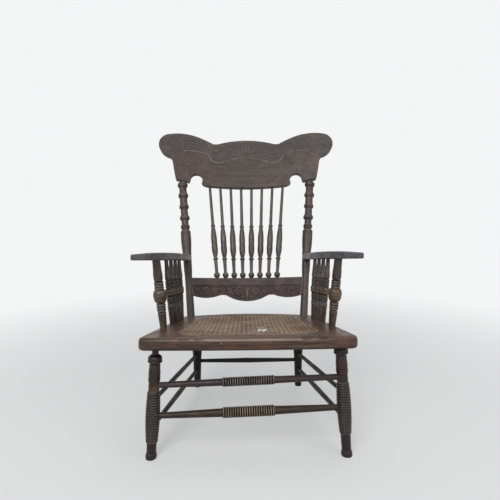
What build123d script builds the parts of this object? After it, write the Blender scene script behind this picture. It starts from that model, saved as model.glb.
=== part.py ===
"""Spindle back armchair with a cane seat, a pressed crest and turned legs, in millimetres.

The chair stands on Z = 0 and faces -Y. X is its width, left is -X. The origin lies on the floor,
under the middle of the chair's width and depth.
"""

import math
import os

from build123d import *

# Fits
glue_gap = 0.1
end_gap = 0.5
overrun = 5.0

# Seat
seat_front_height = 340.0
seat_slope = 6.77
seat_thickness = 34.0
seat_front_width = 586.0
seat_rear_width = 476.0
seat_front_bow = 10.0
seat_rear_setback = 430.0
seat_rear_bow = 68.0
seat_front_corner = 22.0
seat_rear_corner = 30.0
seat_top_round = 11.0
seat_under_round = 9.0
front_joint_setback = 80.0
rear_rail_reach = 38.0
rear_joint_setback = seat_rear_setback - rear_rail_reach

# Cane and its groove
cane_front_side_inset = 89.0
cane_rear_side_inset = 84.0
cane_rear_inset = 5.0
cane_front_setback = 50.0
cane_front_width = seat_front_width - 2 * cane_front_side_inset
cane_rear_setback = seat_rear_setback - cane_rear_inset
cane_rear_width = seat_rear_width - 2 * cane_rear_side_inset
cane_rear_bow = 37.0
cane_front_corner = 62.0
cane_rear_corner = 48.0
cane_thickness = 1.4
cane_skirt = 5.0
cane_land = 8.0
cane_bar = 11.0
cane_openings_across = 12
cane_least_opening_share = 0.3
groove_width = 6.0
groove_depth = 8.0
spline_depth = 5.5
spline_stand = 1.2
spline_round = 1.6
tear_setback = 126.0
tear_offset = 35.0
tear_width = 34.0
tear_length = 58.0

# Dowels of the seat's corner joints
dowel_diameter = 9.0
dowel_length = 36.0

# Front legs
front_leg_inset = 42.0
front_leg_setback = 50.0
front_leg_splay = 16.0
front_leg_rake = 20.0
front_leg_spread = seat_front_width - 2 * front_leg_inset
front_foot_spread = front_leg_spread + 2 * front_leg_splay
front_foot_setback = front_leg_setback - front_leg_rake
front_leg_width = 39.0
front_leg_tenon = 18.0
front_leg_tenon_length = 28.0
left_leg_slip = 18.0
leg_reeds = 20

# Rear legs
rear_leg_inset = 52.0
rear_leg_offset = 5.0
rear_leg_splay = 8.0
rear_leg_rake = 50.0
rear_leg_spread = seat_rear_width - 2 * rear_leg_inset
rear_leg_setback = seat_rear_setback + rear_leg_offset
rear_foot_spread = rear_leg_spread + 2 * rear_leg_splay
rear_foot_setback = rear_leg_setback + rear_leg_rake
rear_leg_width = 34.0
rear_leg_tenon = 18.0
rear_leg_tenon_length = 15.0

# Stretchers
upper_stretcher_width = 25.0
lower_stretcher_width = 29.0
front_stretcher_tenon = 16.0
stretcher_ringed_length = 141.0
stretcher_rings = 22
side_stretcher_upper_width = 15.0
side_stretcher_lower_width = 16.5
side_stretcher_tenon = 12.5
rear_stretcher_width = 18.0
rear_stretcher_tenon = 13.0

# Back
back_lean = 16.95
back_post_inset = 32.2
back_post_offset = 4.0
back_flare = 43.7
back_setback = seat_rear_setback - back_post_offset
back_base_spread = seat_rear_width - 2 * back_post_inset
back_top_spread = back_base_spread + 2 * back_flare
back_post_height = 518.0
back_post_width = 38.0
back_post_seat_tenon = 18.0
back_post_seat_tenon_length = 17.0
back_post_crest_tenon = 15.0
back_post_crest_tenon_length = 32.0

# Crest rail
crest_drop = 18.0
crest_bottom = back_post_height - crest_drop
crest_height = 219.5
crest_overhang = 90.5
crest_width = back_top_spread + 2 * crest_overhang
crest_thickness = 23.0
crest_bow = 28.0
crest_round = 2.0
crest_corner_round = 3.5

# Lower back rail
rail_bottom = 55.0
rail_height = 86.0
rail_thickness = 20.0
rail_bow = 20.0
rail_round = 2.0
rail_cusp_round = 3.0
rail_tongue_height = 46.0
rail_tongue_thickness = 8.0
rail_tongue_length = 24.0
rail_end_cover = 8.0

# Back spindles
back_spindle_count = 8
back_spindle_top_pitch = 41.2
back_spindle_bottom_pitch = 32.1
back_spindle_width = 21.6
back_spindle_tenon = 9.0
back_spindle_tenon_length = 18.0

# Arms
arm_front_setback = 58.0
arm_rise = 197.0
arm_under_height = seat_front_height + arm_rise
arm_slope = 6.65
arm_thickness = 22.0
arm_crown = 2.0
arm_outward_fall = 4.0
arm_front_width = 59.0
arm_front_offset = 27.0
arm_rear_width = 37.0
arm_rear_offset = 0.7
arm_cove_cover = 5.0
arm_corner_round = 12.0
arm_edge_round = 4.0

# Arm posts and arm spindles
upright_inset = 23.5
arm_post_setback = 157.0
arm_post_lean = 11.3
arm_post_rake = 23.0
arm_post_width = 38.0
arm_post_tenon = 15.0
arm_spindle_count = 4
arm_spindle_first_setback = 236.0
arm_spindle_last_offset = 100.0
arm_spindle_last_inset = 29.0
arm_spindle_first_lean = 9.5
arm_spindle_first_rake = 20.0
arm_spindle_last_lean = 8.0
arm_spindle_last_rake = -14.0
arm_spindle_width = 22.0
arm_spindle_tenon = 10.0
arm_tenon_length = 10.0
seat_tenon_length = 20.0

# Arm screws
screw_diameter = 4.5
screw_head_diameter = 9.0
screw_head_height = 3.5
screw_length = 58.0

# Turning tables, read along the piece.
# A row holds the share of the length, the share of the widest radius and the bulge of the stretch
# that leads to it, as a share of that stretch: a bead is positive and a cove negative.
front_leg_shares = [
    (0.000, 0.500, 0.00),
    (0.050, 0.960, 0.22),
    (0.058, 1.000, 0.20),
    (0.070, 0.900, 0.20),
    (0.086, 0.730, -0.15),
    (0.096, 0.730, 0.00),
    (0.105, 0.730, 0.40),
    (0.200, 0.800, 0.03),
    (0.206, 0.760, 0.00),
    (0.222, 0.780, 0.30),
    (0.226, 0.750, 0.00),
    (0.242, 0.770, 0.30),
    (0.248, 0.750, 0.00),
    (0.334, 0.770, 0.00),
]
reed_top_share = 0.336
reed_bottom_share = 0.796
reed_top_radius_share = 0.800
reed_bottom_radius_share = 0.740
reed_swell_share = 0.150
reed_bulge_share = 0.24
front_foot_shares = [
    (0.802, 0.700, 0.00),
    (0.950, 0.660, 0.00),
    (0.958, 0.725, 0.00),
    (1.000, 0.755, 0.06),
    (1.020, 0.755, 0.00),
]
rear_leg_shares = [
    (-0.060, 0.850, 0.00),
    (0.050, 0.960, 0.00),
    (0.160, 1.000, 0.02),
    (0.500, 0.910, 0.02),
    (1.030, 0.710, 0.00),
]
back_post_shares = [
    (-0.020, 0.740, 0.00),
    (0.200, 0.700, 0.00),
    (0.290, 0.710, 0.00),
    (0.330, 0.790, 0.00),
    (0.386, 0.810, 0.00),
    (0.470, 0.880, 0.00),
    (0.598, 0.980, 0.02),
    (0.612, 0.960, 0.12),
    (0.622, 0.780, 0.22),
    (0.630, 0.720, 0.00),
    (0.636, 0.760, 0.00),
    (0.649, 0.760, 0.42),
    (0.662, 0.760, 0.42),
    (0.668, 0.710, 0.00),
    (0.698, 0.700, 0.00),
    (0.703, 0.800, 0.00),
    (0.712, 0.960, 0.20),
    (0.726, 0.960, 0.10),
    (0.752, 0.730, -0.08),
    (0.786, 0.710, 0.00),
    (0.791, 0.800, 0.00),
    (0.800, 0.940, 0.20),
    (0.812, 0.940, 0.10),
    (0.840, 0.770, -0.08),
    (0.872, 0.760, 0.00),
    (0.877, 0.850, 0.00),
    (0.886, 0.990, 0.20),
    (0.899, 0.990, 0.10),
    (0.930, 0.750, -0.08),
    (0.954, 0.740, 0.00),
    (0.960, 0.820, 0.00),
    (0.968, 0.990, 0.22),
    (0.982, 0.990, 0.10),
    (0.991, 0.820, 0.20),
    (1.000, 0.640, 0.00),
]
back_spindle_shares = [
    (0.002, 0.440, 0.00),
    (0.062, 0.500, 0.29),
    (0.068, 0.540, 0.00),
    (0.186, 0.640, 0.00),
    (0.194, 0.660, 0.00),
    (0.214, 0.660, 0.38),
    (0.222, 0.620, 0.00),
    (0.360, 1.000, 0.05),
    (0.545, 0.640, 0.03),
    (0.552, 0.640, 0.00),
    (0.570, 0.640, 0.30),
    (0.578, 0.560, 0.00),
    (0.997, 0.480, 0.00),
]
arm_post_shares = [
    (-0.030, 0.510, 0.00),
    (0.200, 0.620, 0.00),
    (0.240, 0.630, 0.04),
    (0.256, 0.560, 0.00),
    (0.264, 0.600, 0.00),
    (0.298, 0.610, 0.26),
    (0.302, 0.610, 0.00),
    (0.336, 0.620, 0.26),
    (0.340, 0.620, 0.00),
    (0.374, 0.630, 0.26),
    (0.384, 0.600, 0.00),
    (0.470, 0.985, 0.12),
    (0.520, 0.985, 0.10),
    (0.582, 0.640, 0.14),
    (0.588, 0.640, 0.00),
    (0.622, 0.640, 0.24),
    (0.626, 0.640, 0.00),
    (0.660, 0.640, 0.24),
    (0.664, 0.640, 0.00),
    (0.698, 0.630, 0.24),
    (0.706, 0.560, 0.00),
    (0.724, 0.670, 0.12),
    (0.860, 0.640, 0.03),
    (1.030, 0.600, 0.00),
]
arm_spindle_shares = [
    (-0.030, 0.580, 0.00),
    (0.240, 0.710, 0.00),
    (0.330, 0.710, 0.03),
    (0.340, 0.630, 0.00),
    (0.346, 0.680, 0.00),
    (0.372, 0.690, 0.24),
    (0.376, 0.690, 0.00),
    (0.402, 0.700, 0.24),
    (0.406, 0.700, 0.00),
    (0.432, 0.710, 0.24),
    (0.440, 0.670, 0.00),
    (0.500, 1.000, 0.12),
    (0.515, 1.000, 0.10),
    (0.574, 0.720, 0.14),
    (0.580, 0.720, 0.00),
    (0.612, 0.720, 0.24),
    (0.616, 0.720, 0.00),
    (0.648, 0.720, 0.24),
    (0.652, 0.720, 0.00),
    (0.684, 0.710, 0.24),
    (0.694, 0.630, 0.00),
    (0.714, 0.790, 0.12),
    (0.800, 0.740, 0.03),
    (0.930, 0.570, 0.00),
    (1.030, 0.520, 0.00),
]

# Where the stretchers meet the legs, down from the seat
front_upper_share = 0.281
front_lower_share = 0.559
side_upper_front_share = 0.420
side_lower_front_share = 0.660
side_upper_rear_share = 0.466
side_lower_rear_share = 0.713
rear_stretcher_share = 0.572

# Radius of the back post where the arm meets it, as a share of its greatest radius
arm_joint_radius_share = 0.80

# Where the dowels stand across the side rail, from its inner edge
front_dowel_shares = (0.25, 0.80)
rear_dowel_shares = (0.22, 0.52)

# Shapes of the front stretchers, as shares of their greatest radius and of their length
stretcher_side_share = 0.78
stretcher_ring_bulge_share = 0.30
stretcher_taper_share = 0.06

# Outline of the crest's right half: shares of half its width and of its height
crest_foot_share = (0.470, 0.027)
crest_tip_share = (0.515, 0.062)
scallop_start_share = (0.512, 0.092)
scallop_top_share = (0.562, 0.240)
scallop_end_share = (0.645, 0.145)
ear_inner_share = (0.656, 0.084)
ear_outer_share = (0.803, 0.108)
ear_waist_share = (0.827, 0.290)
ear_throat_share = (0.842, 0.430)
lobe_hinge_share = (0.855, 0.485)
lobe_start_share = (0.876, 0.530)
lobe_side_share = (1.000, 0.740)
lobe_top_share = (0.897, 0.963)
wing_top_share = (0.750, 1.000)
wing_side_share = (0.518, 0.932)
wing_low_share = (0.440, 0.880)
notch_outer_share = (0.385, 0.838)
notch_inner_share = (0.335, 0.840)
crest_middle_share = (0.000, 0.925)

# Outline of the lower rail's right half: shares of half its width and of its height
rail_end_share = (1.000, 0.250)
rail_side_lobe_share = (0.756, 0.145)
rail_cusp_outer_share = (0.485, 0.272)
rail_cusp_inner_share = (0.395, 0.267)
rail_cove_share = (0.335, 0.195)
rail_lobe_share = (0.270, 0.118)

# Outer edge of the arm: shares of its length and of the flare from post to paddle
arm_edge_shares = [(0.02, 0.98), (0.09, 1.00), (0.21, 0.80), (0.36, 0.56), (0.56, 0.34), (0.76, 0.17)]
arm_inner_bow_share = 0.014

# The tear in the cane, as shares of half its width and half its length
tear_shares = [
    (-1.00, -0.10),
    (-0.45, -0.62),
    (0.10, -1.00),
    (0.40, -0.50),
    (1.00, -0.20),
    (0.62, 0.28),
    (0.30, 1.00),
    (-0.20, 0.55),
    (-0.66, 0.40),
]

# Frame of the whole chair
slope = math.radians(seat_slope)
lean = math.radians(back_lean)
crest_middle = crest_bottom + crest_height * crest_middle_share[1]
back_reach = crest_middle * math.sin(lean) + (crest_bow + crest_thickness / 2) * math.cos(lean)
front_edge = -(back_setback + back_reach) / 2
seat_plane = Plane(
    origin=(0, front_edge, seat_front_height),
    x_dir=(1, 0, 0),
    z_dir=(0, math.sin(slope), math.cos(slope)),
)
seat_under_plane = seat_plane.offset(-seat_thickness)


def seat_point(x, setback, depth=0):
    """A point of the seat, at its top or at a depth under it."""
    height = seat_front_height - setback * math.tan(slope) - depth / math.cos(slope)
    return Vector(x, front_edge + setback, height)


def seat_side(setback):
    """Half the seat's width at a setback, between its rounded corners."""
    narrowing = (seat_front_width - seat_rear_width) / 2 / (seat_rear_setback - seat_front_bow)
    return seat_front_width / 2 - narrowing * (setback - seat_front_bow)


def floor_point(x, setback):
    """A point on the floor, measured back from the seat's front like the seat's own points."""
    return Vector(x, front_edge + setback, 0)


def towards(start, end, distance):
    """The point that lies a distance from start, on the way to end."""
    return start + (end - start).normalized() * distance


def turning_plane(start, end):
    """A plane through a turned piece's axis: local y runs from start to end, local x is its radius."""
    square = Plane(origin=start, z_dir=end - start)
    return Plane(origin=start, x_dir=square.x_dir, z_dir=-square.y_dir)


def turn(start, end, stations, allowance=0, mode=Mode.ADD):
    """Turn a shape about the line from start to end, in the part block that calls this.

    A station is its distance from start, its radius and the bulge of the stretch before it.
    """
    with BuildSketch(turning_plane(start, end)) as half:
        with BuildLine():
            points = [(radius + allowance, distance) for distance, radius, bulge in stations]
            Line((0, points[0][1]), points[0])
            for before, after, station in zip(points, points[1:], stations[1:]):
                if station[2] == 0:
                    Line(before, after)
                else:
                    SagittaArc(before, after, -station[2])
            Line(points[-1], (0, points[-1][1]))
            Line((0, points[-1][1]), (0, points[0][1]))
        make_face()
    revolve(half.sketch, axis=Axis(start, end - start), mode=mode)


def scaled_stations(shares, length, widest):
    """Stations in real sizes from a turning table."""
    stations = []
    for along, radius, bulge in shares:
        distance = along * length
        real_radius = radius * widest / 2
        if stations:
            stretch = math.hypot(distance - stations[-1][0], real_radius - stations[-1][1])
        else:
            stretch = 0
        stations.append((distance, real_radius, bulge * stretch))
    return stations


def rod(start, end, before, after, diameter, allowance=0, mode=Mode.ADD):
    """A plain round rod on the line from start to end, longer than it by before and after."""
    length = (end - start).length
    ends = [(-before, diameter / 2, 0), (length + after, diameter / 2, 0)]
    turn(start, end, ends, allowance, mode)


def socket(mouth, outside, depth, diameter):
    """Drill a socket for a round tenon, from its mouth straight away from a point outside."""
    bottom = towards(mouth, outside, -depth)
    rod(mouth, bottom, overrun, 0, diameter, glue_gap, Mode.SUBTRACT)


def save(block, name):
    block.part.label = name
    export_step(block.part, f"parts/{name}.step")


# Underframe points


def front_leg_line(side, slip):
    """Shoulder and foot of a front leg, with the shoulder slid down out of its socket."""
    top = seat_point(side * front_leg_spread / 2, front_leg_setback, seat_thickness)
    foot = floor_point(side * front_foot_spread / 2, front_foot_setback)
    return towards(top, foot, slip), foot


def rear_leg_line(side):
    top = seat_point(side * rear_leg_spread / 2, rear_leg_setback, seat_thickness)
    foot = floor_point(side * rear_foot_spread / 2, rear_foot_setback)
    return top, foot


side_slips = {-1: left_leg_slip, 1: 0}
side_names = {-1: "left", 1: "right"}
front_leg_length = (front_leg_line(1, 0)[1] - front_leg_line(1, 0)[0]).length
rear_leg_length = (rear_leg_line(1)[1] - rear_leg_line(1)[0]).length


def on_front_leg(side, share):
    shoulder, foot = front_leg_line(side, side_slips[side])
    return towards(shoulder, foot, share * front_leg_length)


def on_rear_leg(side, share):
    top, foot = rear_leg_line(side)
    return towards(top, foot, share * rear_leg_length)


# Back points


def back_point(x, rise, behind=0):
    """A point of the back: across, up the leaning plane, and behind it."""
    setback = back_setback + rise * math.sin(lean) + behind * math.cos(lean)
    base = seat_point(0, back_setback).Z
    return Vector(x, front_edge + setback, base + rise * math.cos(lean) - behind * math.sin(lean))


back_plane = Plane(
    origin=back_point(0, 0),
    x_dir=(1, 0, 0),
    z_dir=(0, -math.cos(lean), math.sin(lean)),
)
bend_plane = Plane(
    origin=back_point(0, 0),
    x_dir=(1, 0, 0),
    z_dir=(0, math.sin(lean), math.cos(lean)),
)


def bend_radius(bow, span):
    return (span**2 / 4 + bow**2) / (2 * bow)


def bend_depth(x, bow, span):
    """How far behind the posts' plane a bent rail's middle lies at x."""
    radius = bend_radius(bow, span)
    return math.sqrt(radius**2 - x**2) - radius + bow


def bent_board(bow, span, thickness, rise):
    """Keep only what lies within a board bent to an arc between the posts."""
    radius = bend_radius(bow, span)
    with BuildSketch(bend_plane) as bend:
        with Locations((0, bow - radius)):
            Circle(radius + thickness / 2)
            Circle(radius - thickness / 2, mode=Mode.SUBTRACT)
    extrude(bend.sketch, amount=rise, mode=Mode.INTERSECT)


def back_post_line(side):
    foot = back_point(side * back_base_spread / 2, 0)
    head = back_point(side * back_top_spread / 2, back_post_height)
    return foot, head


def post_spread(rise):
    """Distance between the posts' axes at a rise up the back."""
    return back_base_spread + (back_top_spread - back_base_spread) * rise / back_post_height


rail_middle = rail_bottom + rail_height / 2
rail_span = post_spread(rail_middle)


def back_spindle_line(x_share):
    """Foot and head of a back spindle: on the lower rail's top edge and the crest's bottom edge."""
    low_x = x_share * back_spindle_bottom_pitch
    high_x = x_share * back_spindle_top_pitch
    foot = back_point(low_x, rail_bottom + rail_height, bend_depth(low_x, rail_bow, rail_span))
    crest_foot = crest_bottom + crest_height * crest_foot_share[1] * (
        high_x / (crest_foot_share[0] * crest_width / 2)
    ) ** 2
    head = back_point(high_x, crest_foot, bend_depth(high_x, crest_bow, back_top_spread))
    return foot, head


# Arm points

arm_angle = math.radians(arm_slope)
arm_plane = Plane(
    origin=(0, front_edge, arm_under_height + arm_front_setback * math.tan(arm_angle)),
    x_dir=(1, 0, 0),
    z_dir=(0, math.sin(arm_angle), math.cos(arm_angle)),
)


def arm_point(x, setback, lift=0):
    """A point of the arm's underside, or lifted above it."""
    height = arm_under_height - (setback - arm_front_setback) * math.tan(arm_angle)
    return Vector(x, front_edge + setback, height + lift / math.cos(arm_angle))


def upright_line(side, seat_place, arm_place):
    foot = seat_point(side * seat_place[0], seat_place[1])
    head = arm_point(side * arm_place[0], arm_place[1])
    return foot, head


def spread_places(first, last, count):
    """Evenly spaced places from the first to the last, both held."""
    steps = [number / (count - 1) for number in range(count)]
    return [
        (first[0] + (last[0] - first[0]) * step, first[1] + (last[1] - first[1]) * step)
        for step in steps
    ]


def upright_foot(setback, inset=upright_inset):
    """Where an arm post or arm spindle stands on the seat, kept in from its side."""
    return seat_side(setback) - inset, setback


arm_post_seat = upright_foot(arm_post_setback)
arm_post_arm = (arm_post_seat[0] + arm_post_lean, arm_post_seat[1] - arm_post_rake)
first_seat = upright_foot(arm_spindle_first_setback)
last_seat = upright_foot(back_setback - arm_spindle_last_offset, arm_spindle_last_inset)
first_arm = (first_seat[0] + arm_spindle_first_lean, first_seat[1] - arm_spindle_first_rake)
last_arm = (last_seat[0] + arm_spindle_last_lean, last_seat[1] - arm_spindle_last_rake)
arm_spindle_seats = spread_places(first_seat, last_seat, arm_spindle_count)
arm_spindle_tops = spread_places(first_arm, last_arm, arm_spindle_count)

os.makedirs("parts", exist_ok=True)

# Seat board, shaped and drilled as one before its four rails are told apart


def board_point(x, along, depth):
    """A point in the seat board: across, back along its slope, and under its top."""
    return seat_plane.from_local_coords(Vector(x, along, -depth))


def cane_outline(growth):
    """The cane's flat outline, grown or shrunk from the middle line of its groove."""
    with BuildSketch() as outline:
        front = (cane_front_width / 2, cane_front_setback)
        rear = (cane_rear_width / 2, cane_rear_setback)
        with BuildLine():
            Line((-front[0], front[1]), front)
            Line(front, rear)
            ThreePointArc(rear, (0, cane_rear_setback + cane_rear_bow), (-rear[0], rear[1]))
            Line((-rear[0], rear[1]), (-front[0], front[1]))
        make_face()
        fillet(outline.vertices().group_by(Axis.Y)[0], cane_front_corner)
        fillet(outline.vertices().group_by(Axis.Y)[-1], cane_rear_corner)
        offset(amount=growth, mode=Mode.REPLACE)
    return outline.sketch_local


def cane_sheet(plane, outside, inside=None):
    """The cane's outline on a plane, whole, or as a ring around a smaller one."""
    with BuildSketch(plane) as sheet:
        add(cane_outline(outside))
        if inside is not None:
            add(cane_outline(inside), mode=Mode.SUBTRACT)
    return sheet.sketch


def cross_at(along):
    """Half widths of the cane's groove and of the seat's outside, at a distance back from the front."""
    groove_slope = (cane_rear_width - cane_front_width) / 2 / (cane_rear_setback - cane_front_setback)
    groove_edge = cane_front_width / 2 + groove_slope * (along - cane_front_setback)
    return groove_edge + groove_width / 2, seat_side(along)


def dowel_places(joint, shares):
    inner, outer = cross_at(joint)
    return [inner + (outer - inner) * share for share in shares]


def dowel_line(across, joint):
    front_end = board_point(across, joint - dowel_length / 2, seat_thickness / 2)
    rear_end = board_point(across, joint + dowel_length / 2, seat_thickness / 2)
    return front_end, rear_end


dowel_joints = [
    (front_joint_setback, dowel_places(front_joint_setback, front_dowel_shares)),
    (rear_joint_setback, dowel_places(rear_joint_setback, rear_dowel_shares)),
]

groove_inside = -groove_width / 2
window_growth = groove_inside - cane_land

with BuildPart() as seat_board:
    with BuildSketch(seat_plane) as seat_outline:
        front_corner = (seat_front_width / 2, seat_front_bow)
        rear_corner = (seat_rear_width / 2, seat_rear_setback)
        with BuildLine():
            ThreePointArc((-front_corner[0], front_corner[1]), (0, 0), front_corner)
            Line(front_corner, rear_corner)
            rear_middle = (0, seat_rear_setback + seat_rear_bow)
            ThreePointArc(rear_corner, rear_middle, (-rear_corner[0], rear_corner[1]))
            Line((-rear_corner[0], rear_corner[1]), (-front_corner[0], front_corner[1]))
        make_face()
        fillet(seat_outline.vertices().group_by(Axis.Y)[0], seat_front_corner)
        fillet(seat_outline.vertices().group_by(Axis.Y)[-1], seat_rear_corner)
    extrude(amount=-seat_thickness)
    flats = seat_board.faces().filter_by(Axis((0, 0, 0), seat_plane.z_dir)).sort_by(Axis.Z)
    fillet(flats[-1].edges(), seat_top_round)
    flats = seat_board.faces().filter_by(Axis((0, 0, 0), seat_plane.z_dir)).sort_by(Axis.Z)
    fillet(flats[0].edges(), seat_under_round)
    extrude(cane_sheet(seat_plane, window_growth), amount=-seat_thickness, mode=Mode.SUBTRACT)
    extrude(cane_sheet(seat_plane, groove_inside), amount=-cane_thickness, mode=Mode.SUBTRACT)
    groove = cane_sheet(seat_plane, groove_width / 2, groove_inside)
    extrude(groove, amount=-groove_depth, mode=Mode.SUBTRACT)
    for side in side_names:
        leg_top, leg_foot = front_leg_line(side, 0)
        socket(leg_top, leg_foot, front_leg_tenon_length + end_gap, front_leg_tenon)
        leg_top, leg_foot = rear_leg_line(side)
        socket(leg_top, leg_foot, rear_leg_tenon_length + end_gap, rear_leg_tenon)
        post_foot, post_head = back_post_line(side)
        socket(post_foot, post_head, back_post_seat_tenon_length + end_gap, back_post_seat_tenon)
        uprights = [(arm_post_seat, arm_post_arm, arm_post_tenon)]
        for seat_place, arm_place in zip(arm_spindle_seats, arm_spindle_tops):
            uprights.append((seat_place, arm_place, arm_spindle_tenon))
        for seat_place, arm_place, tenon in uprights:
            foot, head = upright_line(side, seat_place, arm_place)
            socket(foot, head, seat_tenon_length + end_gap, tenon)
        for joint, places in dowel_joints:
            for across in places:
                front_end, rear_end = dowel_line(side * across, joint)
                rod(front_end, rear_end, end_gap, end_gap, dowel_diameter, glue_gap, Mode.SUBTRACT)


def rail_of_board(front, rear, left, right):
    """Take one rail out of the seat board, in the part block that calls this."""
    add(seat_board.part)
    with BuildSketch(seat_plane.offset(-2 * seat_thickness)) as region:
        with Locations(((left + right) / 2, (front + rear) / 2)):
            Rectangle(right - left, rear - front)
    extrude(region.sketch, amount=3 * seat_thickness, mode=Mode.INTERSECT)


seat_reach = seat_front_width / 2 + overrun
seat_rear_end = seat_rear_setback + seat_rear_bow + overrun

with BuildPart() as seat_front_rail:
    rail_of_board(-overrun, front_joint_setback, -seat_reach, seat_reach)
save(seat_front_rail, "seat_front_rail")

with BuildPart() as seat_back_rail:
    rail_of_board(rear_joint_setback, seat_rear_end, -seat_reach, seat_reach)
save(seat_back_rail, "seat_back_rail")

with BuildPart() as seat_left_rail:
    rail_of_board(front_joint_setback, rear_joint_setback, -seat_reach, 0)
save(seat_left_rail, "seat_left_rail")

with BuildPart() as seat_right_rail:
    rail_of_board(front_joint_setback, rear_joint_setback, 0, seat_reach)
save(seat_right_rail, "seat_right_rail")

with BuildPart() as seat_dowels:
    for side in side_names:
        for joint, places in dowel_joints:
            for across in places:
                front_end, rear_end = dowel_line(side * across, joint)
                rod(front_end, rear_end, 0, 0, dowel_diameter)
save(seat_dowels, "seat_dowels")

# Cane sheet, its edge folded down into the groove, and the reed that locks it there

skirt_outside = groove_inside + glue_gap + cane_thickness
skirt_inside = groove_inside + glue_gap


def near_tear(across, along, opening):
    """Whether an opening would leave less than a bar beside the tear."""
    beside = abs(across - tear_offset) < (tear_width + opening) / 2 + cane_bar
    return beside and abs(along - tear_setback) < (tear_length + opening) / 2 + cane_bar


def cane_openings():
    """A plain grid of openings over the window, each kept where enough of it is inside."""
    window = cane_outline(window_growth)
    extent = window.bounding_box()
    pitch = extent.size.X / cane_openings_across
    opening = pitch - cane_bar
    rows = math.ceil(extent.size.Y / pitch)
    openings = []
    for column in range(cane_openings_across):
        for row in range(rows):
            across = extent.center().X + (column - (cane_openings_across - 1) / 2) * pitch
            along = extent.center().Y + (row - (rows - 1) / 2) * pitch
            if near_tear(across, along, opening):
                continue
            kept = Pos(across, along) * Rectangle(opening, opening) & window
            openings += [face for face in kept.faces() if face.area > cane_least_opening_share * opening ** 2]
    return openings


with BuildPart() as seat_cane:
    extrude(cane_sheet(seat_plane, skirt_outside), amount=-cane_thickness)
    extrude(cane_sheet(seat_plane, skirt_outside, skirt_inside), amount=-cane_skirt)
    with BuildSketch(seat_plane):
        with BuildLine():
            tear_points = [
                (tear_offset + across * tear_width / 2, tear_setback + along * tear_length / 2)
                for across, along in tear_shares
            ]
            Polyline(*tear_points, close=True)
        make_face()
        add(cane_openings())
    extrude(amount=-cane_thickness, mode=Mode.SUBTRACT)
save(seat_cane, "seat_cane")

with BuildPart() as cane_spline:
    low_plane = seat_plane.offset(-spline_depth)
    reed = cane_sheet(low_plane, groove_width / 2 - glue_gap, skirt_outside + glue_gap)
    extrude(reed, amount=spline_depth + spline_stand)
    crown = cane_spline.faces().filter_by(Axis((0, 0, 0), seat_plane.z_dir)).sort_by(Axis.Z)[-1]
    fillet(crown.edges(), spline_round)
save(cane_spline, "cane_spline")

# Front legs, reeded, with the left one slid a little out of its socket


def reed_stations():
    """The reeded swell of a front leg, one bead to a reed."""
    pitch_share = (reed_bottom_share - reed_top_share) / leg_reeds
    stations = []
    for number in range(leg_reeds + 1):
        step = number / leg_reeds
        taper = reed_top_radius_share + (reed_bottom_radius_share - reed_top_radius_share) * step
        swell = reed_swell_share * math.sin(math.pi * step)
        radius = (taper + swell) * front_leg_width / 2
        distance = (reed_top_share + number * pitch_share) * front_leg_length
        bulge = reed_bulge_share * pitch_share * front_leg_length if number else 0
        stations.append((distance, radius, bulge))
    return stations


front_leg_sockets = [
    (front_upper_share, front_stretcher_tenon),
    (front_lower_share, front_stretcher_tenon),
]
side_sockets = [
    (side_upper_front_share, side_upper_rear_share),
    (side_lower_front_share, side_lower_rear_share),
]

for side, side_name in side_names.items():
    slip = side_slips[side]
    with BuildPart() as front_leg:
        shoulder, foot = front_leg_line(side, slip)
        foot_stations = [
            (distance - slip, radius, bulge)
            for distance, radius, bulge in scaled_stations(
                front_foot_shares, front_leg_length, front_leg_width
            )
        ]
        upper_stations = scaled_stations(front_leg_shares, front_leg_length, front_leg_width)
        turn(shoulder, foot, upper_stations + reed_stations() + foot_stations)
        split(bisect_by=seat_under_plane, keep=Keep.BOTTOM)
        split(bisect_by=Plane.XY, keep=Keep.TOP)
        tenon_root = towards(shoulder, foot, front_leg_tenon)
        rod(shoulder, tenon_root, front_leg_tenon_length, 0, front_leg_tenon)
        for share, diameter in front_leg_sockets:
            axis_point = on_front_leg(side, share)
            outside = towards(axis_point, on_front_leg(-side, share), front_leg_width)
            rod(axis_point, outside, 0, 0, diameter, glue_gap, Mode.SUBTRACT)
        for front_share, rear_share in side_sockets:
            axis_point = on_front_leg(side, front_share)
            outside = towards(axis_point, on_rear_leg(side, rear_share), front_leg_width)
            rod(axis_point, outside, 0, 0, side_stretcher_tenon, glue_gap, Mode.SUBTRACT)
    save(front_leg, f"front_leg_{side_name}")

# Rear legs, plain tapered turnings

for side, side_name in side_names.items():
    with BuildPart() as rear_leg:
        top, foot = rear_leg_line(side)
        turn(top, foot, scaled_stations(rear_leg_shares, rear_leg_length, rear_leg_width))
        split(bisect_by=seat_under_plane, keep=Keep.BOTTOM)
        split(bisect_by=Plane.XY, keep=Keep.TOP)
        tenon_root = towards(top, foot, rear_leg_tenon)
        rod(top, tenon_root, rear_leg_tenon_length, 0, rear_leg_tenon)
        for front_share, rear_share in side_sockets:
            axis_point = on_rear_leg(side, rear_share)
            outside = towards(axis_point, on_front_leg(side, front_share), rear_leg_width)
            rod(axis_point, outside, 0, 0, side_stretcher_tenon, glue_gap, Mode.SUBTRACT)
        axis_point = on_rear_leg(side, rear_stretcher_share)
        outside = towards(axis_point, on_rear_leg(-side, rear_stretcher_share), rear_leg_width)
        rod(axis_point, outside, 0, 0, rear_stretcher_tenon, glue_gap, Mode.SUBTRACT)
    save(rear_leg, f"rear_leg_{side_name}")

# Front stretchers, with a ringed swell in the middle


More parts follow.
